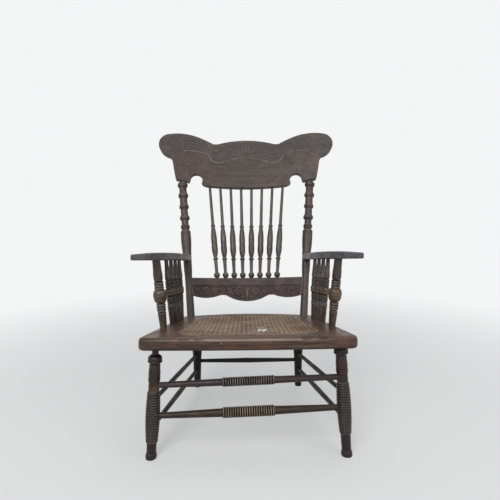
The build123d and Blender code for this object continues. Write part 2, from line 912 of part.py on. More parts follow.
def ringed_stretcher(left_end, right_end, widest):
    """Turn a front stretcher between the middles of two legs."""
    length = (right_end - left_end).length
    tenon_radius = front_stretcher_tenon / 2
    side_radius = stretcher_side_share * widest / 2
    pitch = stretcher_ringed_length / stretcher_rings
    bulge = stretcher_ring_bulge_share * pitch
    ring_root = widest / 2 - bulge
    rings_start = (length - stretcher_ringed_length) / 2
    taper = stretcher_taper_share * length
    stations = [(end_gap, tenon_radius, 0), (taper, tenon_radius, 0), (rings_start, side_radius, 0)]
    stations.append((rings_start, ring_root, 0))
    for number in range(1, stretcher_rings + 1):
        stations.append((rings_start + number * pitch, ring_root, bulge))
    stations.append((length - rings_start, side_radius, 0))
    stations += [(length - taper, tenon_radius, 0), (length - end_gap, tenon_radius, 0)]
    turn(left_end, right_end, stations)


with BuildPart() as front_stretcher_upper:
    ringed_stretcher(
        on_front_leg(-1, front_upper_share), on_front_leg(1, front_upper_share), upper_stretcher_width
    )
save(front_stretcher_upper, "front_stretcher_upper")

with BuildPart() as front_stretcher_lower:
    ringed_stretcher(
        on_front_leg(-1, front_lower_share), on_front_leg(1, front_lower_share), lower_stretcher_width
    )
save(front_stretcher_lower, "front_stretcher_lower")

# Side and rear stretchers, plain and a little fuller in the middle


def plain_stretcher(start, end, widest, tenon):
    """Turn a plain stretcher between the middles of two legs."""
    length = (end - start).length
    taper = stretcher_taper_share * length
    stations = [
        (end_gap, tenon / 2, 0),
        (taper, tenon / 2, 0),
        (length / 2, widest / 2, 0),
        (length - taper, tenon / 2, 0),
        (length - end_gap, tenon / 2, 0),
    ]
    turn(start, end, stations)


side_stretcher_kinds = {
    "upper": (side_upper_front_share, side_upper_rear_share, side_stretcher_upper_width),
    "lower": (side_lower_front_share, side_lower_rear_share, side_stretcher_lower_width),
}

for side, side_name in side_names.items():
    for level, (front_share, rear_share, widest) in side_stretcher_kinds.items():
        with BuildPart() as side_stretcher:
            front_end = on_front_leg(side, front_share)
            plain_stretcher(front_end, on_rear_leg(side, rear_share), widest, side_stretcher_tenon)
        save(side_stretcher, f"side_stretcher_{side_name}_{level}")

with BuildPart() as rear_stretcher:
    left_end = on_rear_leg(-1, rear_stretcher_share)
    right_end = on_rear_leg(1, rear_stretcher_share)
    plain_stretcher(left_end, right_end, rear_stretcher_width, rear_stretcher_tenon)
save(rear_stretcher, "rear_stretcher")

# Back posts

post_length = (back_post_line(1)[1] - back_post_line(1)[0]).length
post_stations = scaled_stations(back_post_shares, post_length, back_post_width)

# Where the arm meets the back post
arm_joint_rise = (
    arm_under_height
    + arm_thickness / 2 / math.cos(arm_angle)
    - (back_setback - arm_front_setback) * math.tan(arm_angle)
    - back_point(0, 0).Z
) / (math.cos(lean) + math.sin(lean) * math.tan(arm_angle))


def screw_line(side):
    """Head and tip of the screw that comes through a back post into its arm."""
    middle = back_point(side * post_spread(arm_joint_rise) / 2, arm_joint_rise)
    to_head = arm_joint_radius_share * back_post_width / 2 - screw_head_height / 2
    head = middle + arm_plane.y_dir * to_head
    return head, head - arm_plane.y_dir * screw_length


screw_stations = [
    (0, screw_head_diameter / 2, 0),
    (screw_head_height, screw_diameter / 2, 0),
    (screw_length, screw_diameter / 2, 0),
]
screw_way = [(-screw_head_diameter, screw_head_diameter / 2, 0)] + screw_stations


def tongue_box(side, allowance, mode):
    """The lower rail's tongue, or its slot in the post, reaching to the post's middle."""
    outer = post_spread(rail_middle) / 2 - (0 if mode == Mode.SUBTRACT else end_gap)
    inner = post_spread(rail_middle) / 2 - rail_tongue_length
    with BuildSketch(back_plane) as box:
        with Locations((side * (inner + outer) / 2, rail_middle)):
            Rectangle(outer - inner, rail_tongue_height + 2 * allowance)
    extrude(box.sketch, amount=rail_tongue_thickness / 2 + allowance, both=True, mode=mode)


for side, side_name in side_names.items():
    with BuildPart() as back_post:
        foot, head = back_post_line(side)
        turn(foot, head, post_stations)
        split(bisect_by=seat_plane, keep=Keep.TOP)
        neck = towards(foot, head, back_post_seat_tenon)
        rod(foot, neck, back_post_seat_tenon_length, 0, back_post_seat_tenon)
        neck = towards(head, foot, back_post_crest_tenon)
        rod(neck, head, 0, back_post_crest_tenon_length, back_post_crest_tenon)
        tongue_box(side, glue_gap, Mode.SUBTRACT)
        screw_head, screw_tip = screw_line(side)
        turn(screw_head, screw_tip, screw_way, glue_gap, Mode.SUBTRACT)
    save(back_post, f"back_post_{side_name}")

# Lower back rail, bent, scalloped below, tongued into the posts

rail_top = rail_bottom + rail_height


def rail_shares_point(share, half):
    return share[0] * half, rail_bottom + share[1] * rail_height


with BuildPart() as lower_back_rail:
    with BuildSketch(back_plane) as rail_outline:
        end_rise = rail_bottom + rail_end_share[1] * rail_height
        half = post_spread(end_rise) / 2 - rail_end_cover
        rail_end = (half, end_rise)
        rail_corner = (post_spread(rail_top) / 2 - rail_end_cover, rail_top)
        side_lobe = rail_shares_point(rail_side_lobe_share, half)
        cusp_outer = rail_shares_point(rail_cusp_outer_share, half)
        cusp_inner = rail_shares_point(rail_cusp_inner_share, half)
        cove = rail_shares_point(rail_cove_share, half)
        lobe = rail_shares_point(rail_lobe_share, half)
        with BuildLine():
            Line((0, rail_top), rail_corner)
            Line(rail_corner, rail_end)
            ThreePointArc(rail_end, side_lobe, cusp_outer)
            Line(cusp_outer, cusp_inner)
            ThreePointArc(cusp_inner, cove, lobe)
            ThreePointArc(lobe, (0, rail_bottom), (-lobe[0], lobe[1]))
            ThreePointArc((-lobe[0], lobe[1]), (-cove[0], cove[1]), (-cusp_inner[0], cusp_inner[1]))
            Line((-cusp_inner[0], cusp_inner[1]), (-cusp_outer[0], cusp_outer[1]))
            ThreePointArc(
                (-cusp_outer[0], cusp_outer[1]), (-side_lobe[0], side_lobe[1]), (-half, end_rise)
            )
            Line((-half, end_rise), (-rail_corner[0], rail_corner[1]))
            Line((-rail_corner[0], rail_corner[1]), (0, rail_top))
        make_face()
        cusps = [
            corner
            for corner in rail_outline.vertices()
            if abs(corner.X) < half - overrun and corner.Y < rail_middle
        ]
        fillet(cusps, rail_cusp_round)
    extrude(amount=rail_bow + 2 * rail_thickness, both=True)
    bent_board(rail_bow, rail_span, rail_thickness, rail_top + overrun)
    boards = lower_back_rail.faces().sort_by(SortBy.AREA)[-2:]
    fillet(boards[0].edges() + boards[1].edges(), rail_round)
    for side in side_names:
        foot, head = back_post_line(side)
        turn(foot, head, post_stations, glue_gap, Mode.SUBTRACT)
        tongue_box(side, 0, Mode.ADD)
    for number in range(back_spindle_count):
        spindle_foot, spindle_head = back_spindle_line(number - (back_spindle_count - 1) / 2)
        socket(spindle_foot, spindle_head, back_spindle_tenon_length + end_gap, back_spindle_tenon)
save(lower_back_rail, "lower_back_rail")

# Crest rail, bent, with two lobes, a notched middle and scallops beside the ears


def crest_point(share):
    return share[0] * crest_width / 2, crest_bottom + share[1] * crest_height


with BuildPart() as crest_rail:
    with BuildSketch(back_plane) as crest_outline:
        with BuildLine():
            halfway_share = (crest_foot_share[0] / 2, crest_foot_share[1] / 4)
            ThreePointArc((0, crest_bottom), crest_point(halfway_share), crest_point(crest_foot_share))
            Line(crest_point(crest_foot_share), crest_point(crest_tip_share))
            Line(crest_point(crest_tip_share), crest_point(scallop_start_share))
            ThreePointArc(
                crest_point(scallop_start_share),
                crest_point(scallop_top_share),
                crest_point(scallop_end_share),
            )
            Line(crest_point(scallop_end_share), crest_point(ear_inner_share))
            Line(crest_point(ear_inner_share), crest_point(ear_outer_share))
            ThreePointArc(
                crest_point(ear_outer_share), crest_point(ear_waist_share), crest_point(ear_throat_share)
            )
            ThreePointArc(
                crest_point(ear_throat_share), crest_point(lobe_hinge_share), crest_point(lobe_start_share)
            )
            ThreePointArc(
                crest_point(lobe_start_share), crest_point(lobe_side_share), crest_point(lobe_top_share)
            )
            ThreePointArc(
                crest_point(lobe_top_share), crest_point(wing_top_share), crest_point(wing_side_share)
            )
            ThreePointArc(
                crest_point(wing_side_share), crest_point(wing_low_share), crest_point(notch_outer_share)
            )
            Line(crest_point(notch_outer_share), crest_point(notch_inner_share))
            middle_side = crest_point(crest_middle_share)
            inner = crest_point(notch_inner_share)
            middle_radius = (inner[0] ** 2 + (middle_side[1] - inner[1]) ** 2) / (
                2 * (middle_side[1] - inner[1])
            )
            RadiusArc(inner, middle_side, -middle_radius)
            mirror(about=Plane.YZ)
        make_face()
        corners = [corner for corner in crest_outline.vertices() if abs(corner.X) > overrun]
        fillet(corners, crest_corner_round)
    extrude(amount=2 * crest_bow + crest_thickness, both=True)
    bent_board(crest_bow, back_top_spread, crest_thickness, crest_bottom + crest_height + overrun)
    boards = crest_rail.faces().sort_by(SortBy.AREA)[-2:]
    fillet(boards[0].edges() + boards[1].edges(), crest_round)
    for side in side_names:
        foot, head = back_post_line(side)
        socket(head, foot, back_post_crest_tenon_length + end_gap, back_post_crest_tenon)
    for number in range(back_spindle_count):
        spindle_foot, spindle_head = back_spindle_line(number - (back_spindle_count - 1) / 2)
        socket(spindle_head, spindle_foot, back_spindle_tenon_length + end_gap, back_spindle_tenon)
save(crest_rail, "crest_rail")

# Back spindles

for number in range(back_spindle_count):
    with BuildPart() as back_spindle:
        foot, head = back_spindle_line(number - (back_spindle_count - 1) / 2)
        length = (head - foot).length
        turn(foot, head, scaled_stations(back_spindle_shares, length, back_spindle_width))
        rod(foot, head, back_spindle_tenon_length, back_spindle_tenon_length, back_spindle_tenon)
    save(back_spindle, f"back_spindle_{number + 1}")

# Arms: the right one, and the left one as its mirror image

with BuildPart() as arm_right:
    joint_middle = back_point(post_spread(arm_joint_rise) / 2, arm_joint_rise)
    front_along = arm_front_setback / math.cos(arm_angle)
    rear_along = arm_plane.to_local_coords(joint_middle).Y - arm_cove_cover
    arm_length = rear_along - front_along
    arm_front_middle = arm_post_arm[0] + arm_front_offset
    arm_front_inner = arm_front_middle - arm_front_width / 2
    arm_front_outer = arm_front_middle + arm_front_width / 2
    arm_rear_middle = joint_middle.X + arm_rear_offset
    arm_rear_inner = arm_rear_middle - arm_rear_width / 2
    arm_rear_outer = arm_rear_middle + arm_rear_width / 2
    arm_flare = arm_front_outer - arm_rear_outer
    with BuildSketch(arm_plane) as arm_outline:
        front_inner = (arm_front_inner, front_along)
        rear_inner = (arm_rear_inner, rear_along)
        rear_outer = (arm_rear_outer, rear_along)
        front_outer = (arm_front_outer - arm_corner_round / 2, front_along + arm_corner_round / 4)
        edge_points = [
            (arm_rear_outer + flare * arm_flare, front_along + along * arm_length)
            for along, flare in arm_edge_shares
        ]
        with BuildLine():
            Line(front_inner, edge_points[0])
            Spline(*edge_points, rear_outer)
            Line(rear_outer, rear_inner)
            SagittaArc(rear_inner, front_inner, -arm_inner_bow_share * arm_length)
        make_face()
        fillet(arm_outline.vertices().sort_by(Axis.Y)[:2], arm_corner_round)
    extrude(amount=2 * arm_thickness)
    inner_front = arm_plane.from_local_coords(Vector(arm_front_inner, front_along, arm_thickness))
    inner_rear = arm_plane.from_local_coords(Vector(arm_rear_inner, rear_along, arm_thickness))
    along_edge = (inner_rear - inner_front).normalized()
    level_out = along_edge.cross(arm_plane.z_dir)
    fall_out = level_out * (arm_front_outer - arm_front_inner) - arm_plane.z_dir * arm_outward_fall
    crown_plane = Plane(origin=inner_front, x_dir=along_edge, z_dir=fall_out)
    with BuildSketch(crown_plane):
        edge_length = (inner_rear - inner_front).length
        with BuildLine():
            low = -arm_crown
            ThreePointArc(
                (-overrun, low), (edge_length / 2, arm_crown), (edge_length + overrun, low)
            )
            Line((edge_length + overrun, low), (edge_length + overrun, 2 * arm_thickness))
            Line((edge_length + overrun, 2 * arm_thickness), (-overrun, 2 * arm_thickness))
            Line((-overrun, 2 * arm_thickness), (-overrun, low))
        make_face()
    extrude(amount=arm_front_outer, both=True, mode=Mode.SUBTRACT)
    fillet(arm_right.edges(), arm_edge_round)
    post_foot, post_head = back_post_line(1)
    turn(post_foot, post_head, post_stations, glue_gap, Mode.SUBTRACT)
    arm_tenons = [(arm_post_seat, arm_post_arm, arm_post_tenon)]
    for seat_place, arm_place in zip(arm_spindle_seats, arm_spindle_tops):
        arm_tenons.append((seat_place, arm_place, arm_spindle_tenon))
    for seat_place, arm_place, tenon in arm_tenons:
        foot, head = upright_line(1, seat_place, arm_place)
        socket(head, foot, arm_tenon_length + end_gap, tenon)
    screw_head, screw_tip = screw_line(1)
    turn(screw_head, screw_tip, screw_way, glue_gap, Mode.SUBTRACT)
save(arm_right, "arm_right")

with BuildPart() as arm_left:
    mirror(arm_right.part, about=Plane.YZ)
save(arm_left, "arm_left")

# Arm posts and arm spindles


def upright(foot, head, shares, widest, tenon):
    """Turn an upright that is scribed to the seat and to the arm, with a tenon at each end."""
    length = (head - foot).length
    turn(foot, head, scaled_stations(shares, length, widest))
    split(bisect_by=seat_plane, keep=Keep.TOP)
    split(bisect_by=arm_plane, keep=Keep.BOTTOM)
    rod(foot, head, seat_tenon_length, arm_tenon_length, tenon)


for side, side_name in side_names.items():
    with BuildPart() as arm_post:
        foot, head = upright_line(side, arm_post_seat, arm_post_arm)
        upright(foot, head, arm_post_shares, arm_post_width, arm_post_tenon)
    save(arm_post, f"arm_post_{side_name}")
    for number in range(arm_spindle_count):
        with BuildPart() as arm_spindle:
            foot, head = upright_line(side, arm_spindle_seats[number], arm_spindle_tops[number])
            upright(foot, head, arm_spindle_shares, arm_spindle_width, arm_spindle_tenon)
        save(arm_spindle, f"arm_spindle_{side_name}_{number + 1}")

# Screws that hold the arms to the back posts

with BuildPart() as arm_screws:
    for side in side_names:
        screw_head, screw_tip = screw_line(side)
        turn(screw_head, screw_tip, screw_stations)
save(arm_screws, "arm_screws")
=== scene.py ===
"""Spindle back armchair: studio, finishes, and the pieces that are carved, caned and worn."""

import math

import bmesh
import bpy
import numpy as np
from mathutils import Matrix, Vector


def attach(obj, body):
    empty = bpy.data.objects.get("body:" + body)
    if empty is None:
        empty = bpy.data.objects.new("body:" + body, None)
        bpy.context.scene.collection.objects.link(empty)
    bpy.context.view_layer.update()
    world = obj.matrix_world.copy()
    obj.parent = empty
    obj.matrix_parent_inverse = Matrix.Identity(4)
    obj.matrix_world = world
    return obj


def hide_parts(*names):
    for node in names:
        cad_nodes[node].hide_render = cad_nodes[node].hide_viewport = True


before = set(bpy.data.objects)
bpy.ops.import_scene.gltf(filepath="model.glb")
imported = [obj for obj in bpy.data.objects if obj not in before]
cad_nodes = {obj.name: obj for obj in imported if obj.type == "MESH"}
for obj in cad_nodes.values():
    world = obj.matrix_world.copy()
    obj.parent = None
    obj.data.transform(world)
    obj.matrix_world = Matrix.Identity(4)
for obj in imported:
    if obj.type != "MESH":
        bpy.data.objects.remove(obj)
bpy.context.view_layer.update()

mm = 0.001

# Chair sizes that the dressing follows, in millimetres as in the model
front_edge = -334.37
seat_front_height = 340.0
seat_slope = math.radians(6.77)
cane_front_setback = 50.0
cane_rear_setback = 425.0
cane_front_half = 204.0
cane_rear_half = 154.0
cane_rear_bow = 37.0
cane_front_corner = 62.0
cane_rear_corner = 48.0
back_lean = math.radians(16.95)
back_setback = 426.0
front_leg_length = 306.0
left_leg_slip = 18.0
reed_top_share = 0.336
reed_bottom_share = 0.796
stretcher_ringed_length = 141.0

# Bent boards: bow, span and thickness
crest_board = (28.0, 499.0, 23.0)
rail_board = (20.0, 428.1, 20.0)

# Directions of the leaning back, and the point on the seat where it starts
back_base = Vector((0, front_edge + back_setback, seat_front_height - back_setback * math.tan(seat_slope)))
back_up = Vector((0, math.sin(back_lean), math.cos(back_lean)))
back_behind = Vector((0, math.cos(back_lean), -math.sin(back_lean)))

# Directions of the sloping seat
seat_origin = Vector((0, front_edge, seat_front_height))
seat_along = Vector((0, math.cos(seat_slope), -math.sin(seat_slope)))
seat_up = Vector((0, math.sin(seat_slope), math.cos(seat_slope)))


# Camera and studio, with places and sizes in metres

focal_pixels = 400
image_pixels = 500
sensor_width = 36
camera_place = Vector((-6.6, -1342.7, 655.8)) * mm
camera_turn = math.radians(0.7)
camera_pitch = math.radians(5.0)
scene_roll = math.radians(0.4)
camera_reach = 100
studio_pale = (0.905, 0.91, 0.915)
studio_fill = (0.20, 0.205, 0.215)
floor_pale = (0.84, 0.84, 0.835)
floor_bounce = (0.14, 0.135, 0.13)
floor_radius = 14
floor_sides = 96
floor_haze = 0.42
haze_start = 0.5
haze_end = 2.4
lamps = [
    # name, place, what it is aimed at, size, power in watts
    ("key", (-0.9, -2.6, 2.4), (0, 0, 0.45), 1.8, 52),
    ("fill", (2.0, -1.9, 1.6), (0, 0, 0.45), 2.0, 14),
    ("top", (0.2, 0.3, 3.0), (0, 0, 0.4), 2.0, 16),
]


def add_camera():
    """The camera of the reference view, turned, pitched and slightly rolled."""
    ahead = Vector((
        math.sin(camera_turn) * math.cos(camera_pitch),
        math.cos(camera_turn) * math.cos(camera_pitch),
        -math.sin(camera_pitch),
    ))
    level_right = ahead.cross(Vector((0, 0, 1))).normalized()
    level_up = level_right.cross(ahead)
    right = level_right * math.cos(scene_roll) - level_up * math.sin(scene_roll)
    up = level_up * math.cos(scene_roll) + level_right * math.sin(scene_roll)
    data = bpy.data.cameras.new("photo_camera")
    data.sensor_width = sensor_width
    data.lens = focal_pixels / image_pixels * sensor_width
    data.clip_end = camera_reach
    camera = bpy.data.objects.new("photo_camera", data)
    turn = Matrix((right, up, -ahead)).transposed().to_4x4()
    camera.matrix_world = Matrix.Translation(camera_place) @ turn
    bpy.context.scene.collection.objects.link(camera)
    bpy.context.scene.camera = camera


def add_soft_light(name, place, target, size, power):
    """A round soft lamp, aimed at a place."""
    data = bpy.data.lights.new(name, "AREA")
    data.shape = "DISK"
    data.size = size
    data.energy = power
    lamp = bpy.data.objects.new(name, data)
    lamp.location = place
    lamp.rotation_euler = (Vector(target) - Vector(place)).to_track_quat("-Z", "Y").to_euler()
    bpy.context.scene.collection.objects.link(lamp)


def seen_share(tree):
    """Gives 1 to what the camera sees, also through or in a surface, and 0 to what only lights the chair."""
    rays = add_node(tree, "LightPath")
    passed = combine(tree, "MAXIMUM", rays.outputs["Is Camera Ray"], rays.outputs["Is Transmission Ray"])
    return combine(tree, "MAXIMUM", passed, rays.outputs["Is Glossy Ray"])


def add_world():
    """A pale studio to look at, which lights the chair less than it looks."""
    world = bpy.data.worlds.new("studio")
    world.use_nodes = True
    tree = world.node_tree
    shade = tint(tree, seen_share(tree), studio_fill, studio_pale)
    link(tree, shade, tree.nodes["Background"].inputs["Color"])
    bpy.context.scene.world = world


def add_floor():
    """A pale round floor that fades into the studio."""
    shape = bmesh.new()
    bmesh.ops.create_circle(shape, cap_ends=True, segments=floor_sides, radius=floor_radius)
    mesh = bpy.data.meshes.new("studio_floor")
    shape.to_mesh(mesh)
    shape.free()
    floor = bpy.data.objects.new("studio_floor", mesh)
    bpy.context.scene.collection.objects.link(floor)
    paint, tree, surface = new_material("pale_floor")
    seen = seen_share(tree)
    shown = tint(tree, seen, floor_bounce, floor_pale)
    set_inputs(tree, surface, {"Base Color": shown, "Roughness": 0.9, "Specular IOR Level": 0.1})
    haze = add_node(tree, "Emission", {"Color": studio_pale}).outputs["Emission"]
    away = add_node(tree, "VectorMath", {0: object_place(tree)})
    away.operation = "LENGTH"
    fade = stretch(tree, away.outputs["Value"], haze_start, haze_end, floor_haze, 1)
    fade = times(tree, fade, seen)
    blend = add_node(tree, "MixShader", {"Fac": fade, 1: surface.outputs["BSDF"], 2: haze})
    link(tree, blend.outputs["Shader"], tree.nodes["Material Output"].inputs["Surface"])
    mesh.materials.append(paint)


# Nodes that finishes are made of

hollow_samples = 5


def link(tree, source, target):
    """Join two sockets."""
    tree.links.new(source, target)


def set_input(tree, socket, value):
    """Give an input a number, a vector or a colour, or the socket that feeds it."""
    if isinstance(value, bpy.types.NodeSocket):
        link(tree, value, socket)
    elif socket.type == "RGBA":
        socket.default_value = (*value, 1)
    else:
        socket.default_value = value


def set_inputs(tree, node, inputs):
    """Give some of a node's inputs, by name or number, what they take."""
    for name, value in inputs.items():
        set_input(tree, node.inputs[name], value)


def add_node(tree, kind, inputs=None):
    """A shader node with some of its inputs set."""
    node = tree.nodes.new("ShaderNode" + kind)
    set_inputs(tree, node, inputs or {})
    return node


def new_material(name):
    """A material, its node tree and its surface node."""
    material = bpy.data.materials.new(name)
    material.use_nodes = True
    tree = material.node_tree
    return material, tree, tree.nodes["Principled BSDF"]


def open_finish(material):
    """A finish's node tree, its surface node and the colour that it has so far."""
    tree = material.node_tree
    surface = tree.nodes["Principled BSDF"]
    return tree, surface, surface.inputs["Base Color"].links[0].from_socket


def object_place(tree, scale=(1, 1, 1), turn=(0, 0, 0)):
    """Object coordinates through a Mapping node."""
    place = add_node(tree, "TexCoord").outputs["Object"]
    return add_node(tree, "Mapping", {"Vector": place, "Scale": scale, "Rotation": turn}).outputs["Vector"]


def noise(tree, place, scale, detail, roughness, distortion=0):
    """Cloudy noise at a place, its scale per metre."""
    node = add_node(tree, "TexNoise", {
        "Vector": place, "Scale": scale, "Detail": detail, "Roughness": roughness, "Distortion": distortion,
    })
    return node.outputs["Fac"]


def stretch(tree, value, low, high, new_low=0.0, new_high=1.0):
    """Map a value's range to another one, smoothly."""
    node = add_node(tree, "MapRange", {
        "Value": value, "From Min": low, "From Max": high, "To Min": new_low, "To Max": new_high,
    })
    node.interpolation_type = "SMOOTHSTEP"
    return node.outputs["Result"]


def patches_of(tree, place, scale, low, high, new_low=0.0, new_high=1.0, detail=4, roughness=0.6):
    """Noise whose range from low to high is mapped to a new one."""
    return stretch(tree, noise(tree, place, scale, detail, roughness), low, high, new_low, new_high)


def combine(tree, kind, first, second=0):
    """Arithmetic on two values, each a number or a socket."""
    node = add_node(tree, "Math", {0: first, 1: second})
    node.operation = kind
    return node.outputs[0]


def times(tree, first, second):
    """Two values multiplied."""
    return combine(tree, "MULTIPLY", first, second)


def tint(tree, amount, first, second):
    """Blend two colours by an amount."""
    node = add_node(tree, "Mix")
    node.data_type = "RGBA"
    for name, value in (("Factor", amount), ("A", first), ("B", second)):
        set_input(tree, next(one for one in node.inputs if one.name == name and one.enabled), value)
    return next(one for one in node.outputs if one.enabled)


def darker(colour, share):
    """A colour with only a share of its light."""
    return tuple(channel * share for channel in colour)


def add_bump(tree, surface, height, strength, depth):
    """Fine relief in a finish, its depth in millimetres."""
    bump = add_node(tree, "Bump", {"Height": height, "Strength": strength, "Distance": depth * mm})
    link(tree, bump.outputs["Normal"], surface.inputs["Normal"])


def vertex_value(tree, name):
    """A value that a mesh's vertices carry."""
    node = add_node(tree, "Attribute")
    node.attribute_name = name
    return node.outputs["Fac"]


def hollow_shade(tree, reach, inside=False):
    """Open surfaces give 1 and crevices less; from inside, thin edges give less."""
    node = add_node(tree, "AmbientOcclusion", {"Distance": reach})
    node.samples = hollow_samples
    node.inside = inside
    node.only_local = True
    return node.outputs["AO"]


def axis_part(tree, vector, axis):
    """One part of a vector."""
    return add_node(tree, "SeparateXYZ", {"Vector": vector}).outputs[axis]


def surface_tilt(tree, axis):
    """How far a surface faces along an axis, either way."""
    normal = add_node(tree, "NewGeometry").outputs["Normal"]
    return combine(tree, "ABSOLUTE", axis_part(tree, normal, axis))


def between(tree, value, low, high, blur):
    """Gives 1 where a value lies between two others and 0 outside them."""
    above = stretch(tree, value, low - blur, low + blur)
    return times(tree, above, stretch(tree, value, high - blur, high + blur, 1, 0))


def near_spot(tree, spot, radius):
    """Gives 1 at a place on the chair and 0 beyond a radius, in millimetres, with a ragged rim."""
    place = object_place(tree)
    away = add_node(tree, "VectorMath", {0: place, 1: Vector(spot) * mm})
    away.operation = "DISTANCE"
    ragged = times(tree, noise(tree, place, 500, 3, 0.6), radius * mm)
    reach = combine(tree, "ADD", away.outputs["Value"], ragged)
    return stretch(tree, reach, 0.9 * radius * mm, 1.5 * radius * mm, 1, 0)


# Finishes

grain_scales = {"X": (0.035, 1, 1), "Y": (1, 0.035, 1), "Z": (1, 1, 0.035)}

# Noise in old wood: scale per metre, detail, roughness, and distortion where there is any
streak_noise = (420, 4, 0.62)
broad_noise = (75, 3, 0.55, 0.6)
pore_noise = (1500, 2, 0.5)
cloud_noise = (11, 4, 0.6)
patch_noise = (26, 5, 0.62)

# What share of the dark stain's light is left in each kind of dark place: real pores, crevices with soiling
# and painted shade, and painted shade on sides and in ring and carving grooves
pore_shade = 0.35
dirt_and_shade_share = 0.22
painted_side_shade_share = 0.6
painted_ring_groove_shade = 0.3
painted_carving_groove_shade = 0.25

wood_specular = 0.27
turned_specular = 0.42
wood_bump = (0.5, 0.35)
crevice_reach_share = 1.4

# Soft edges of marks on the chair, and where the seat's line of wear and painted highlight and its chips are,
# in millimetres
ring_blur = 1.5
band_blur = 6
rubbed_and_highlit_edge = (331.5, 336.5)
rubbed_and_highlit_edge_blur = 1.4
rubbed_and_highlit_edge_setbacks = (2, 8)
seat_chips = [((-70, front_edge, 326), 3.0), ((124, front_edge, 308), 2.6), ((-84, front_edge, 322), 1.8)]

chip_colour = (0.42, 0.34, 0.29)
brown_grime = (0.075, 0.045, 0.032)
reed_dark = (0.19, 0.125, 0.080)
reed_pale = (0.34, 0.245, 0.165)
steel_plain = (0.26, 0.24, 0.22)
steel_bright = (0.42, 0.39, 0.36)


def stained_wood(name, grain, tones, seed, wear, dirt_and_shade, roughness, figure, reach):
    """Old stained and shellacked oak: streaks, pores, worn edges, and soiling and painted shade in the
    hollows.

    Tones are the dark stain, the plain stain, the red of rubbed places and the bare worn edge.
    Reach is how broad the worn edges are, in millimetres.
    """
    dark, plain, rubbed, bare = tones
    material, tree, surface = new_material(name)

    along = object_place(tree, grain_scales[grain])
    open_place = object_place(tree, turn=(seed, seed * 0.7, seed * 1.3))

    streaks = noise(tree, along, *streak_noise)
    broad = noise(tree, along, *broad_noise)
    pores = noise(tree, along, *pore_noise)
    clouds = noise(tree, open_place, *cloud_noise)
    patches = noise(tree, open_place, *patch_noise)

    mellow = tint(tree, stretch(tree, streaks, 0.30, 0.72), dark, plain)
    mellow = tint(tree, times(tree, stretch(tree, broad, 0.42, 0.62), figure), mellow, dark)
    mellow = tint(tree, stretch(tree, clouds, 0.48, 0.70, 0, 0.55), mellow, rubbed)
    pore_lines = stretch(tree, pores, 0.60, 0.74, 0, 0.55)
    mellow = tint(tree, pore_lines, mellow, darker(dark, pore_shade))

    thin = stretch(tree, hollow_shade(tree, reach * mm, inside=True), 0.60, 0.95, 1, 0)
    uneven = stretch(tree, patches, 0.36, 0.60, 0.25, 1)
    edge_wear = times(tree, times(tree, thin, uneven), wear)
    worn = tint(tree, edge_wear, mellow, bare)

    # Soiling and painted shade: crevices found by ambient occlusion are tinted towards the dark stain
    crevice_dirt_and_shade = stretch(tree, hollow_shade(tree, crevice_reach_share * reach * mm), 0.40, 0.95, dirt_and_shade, 0)
    soiled = tint(tree, crevice_dirt_and_shade, worn, darker(dark, dirt_and_shade_share))
    gloss = stretch(tree, patches, 0.3, 0.7, roughness - 0.10, roughness + 0.14)
    set_inputs(tree, surface, {"Base Color": soiled, "Roughness": gloss, "Specular IOR Level": wood_specular})

    relief = combine(tree, "SUBTRACT", times(tree, streaks, 0.6), pore_lines)
    relief = combine(tree, "ADD", relief, times(tree, patches, 0.5))
    add_bump(tree, surface, relief, *wood_bump)
    return material


def paint_side_shade(material, tones, amount):
    """Painted shade on turned pieces: the sides that face left and right take the dark stain, while the
    fronts keep their stain.
    """
    tree, surface, stained = open_finish(material)
    ragged = times(tree, noise(tree, object_place(tree, grain_scales["Z"]), 160, 3, 0.6), 0.3)
    facing = combine(tree, "ADD", surface_tilt(tree, "X"), ragged)
    # Painted shade: the more a surface faces left or right, the more it takes the dark stain
    side_shade_mask = stretch(tree, facing, 0.55, 1.05, 0, amount)
    side_shaded = tint(tree, side_shade_mask, stained, darker(tones[0], painted_side_shade_share))
    set_inputs(tree, surface, {"Base Color": side_shaded, "Specular IOR Level": turned_specular})


def wear_rings(material, axis, low, high, tones, crest_reach):
    """Rubbed pale crests, and painted shade in the grooves, on a turned piece's rings, between two places on
    its axis.

    Crest reach is how far from level a crest's surface still counts as rubbed.
    """
    tree, surface, stained = open_finish(material)
    place = object_place(tree)
    ringed = between(tree, axis_part(tree, place, axis), low * mm, high * mm, ring_blur * mm)
    tilt = surface_tilt(tree, axis)
    # Painted shade in the grooves: ring flanks that face along the axis take the dark stain
    groove = times(tree, ringed, stretch(tree, tilt, 0.18, 0.50, 0, 0.95))
    uneven = patches_of(tree, place, 42, 0.34, 0.60, 0.35, 1)
    crest = times(tree, stretch(tree, tilt, 0.06, crest_reach, 1, 0), uneven)
    rubbed = tint(tree, times(tree, crest, ringed), stained, tones[3])
    groove_shaded = tint(tree, groove, rubbed, darker(tones[0], painted_ring_groove_shade))
    link(tree, groove_shaded, surface.inputs["Base Color"])


def rub_band(material, low, high, colour):
    """A band of a turned piece where hands have rubbed the stain through to the golden wood."""
    tree, surface, stained = open_finish(material)
    place = object_place(tree)
    band = between(tree, axis_part(tree, place, "Z"), low * mm, high * mm, band_blur * mm)
    uneven = patches_of(tree, place, 38, 0.40, 0.62, 0.15, 0.9)
    rubbed = tint(tree, times(tree, band, uneven), stained, colour)
    link(tree, rubbed, surface.inputs["Base Color"])


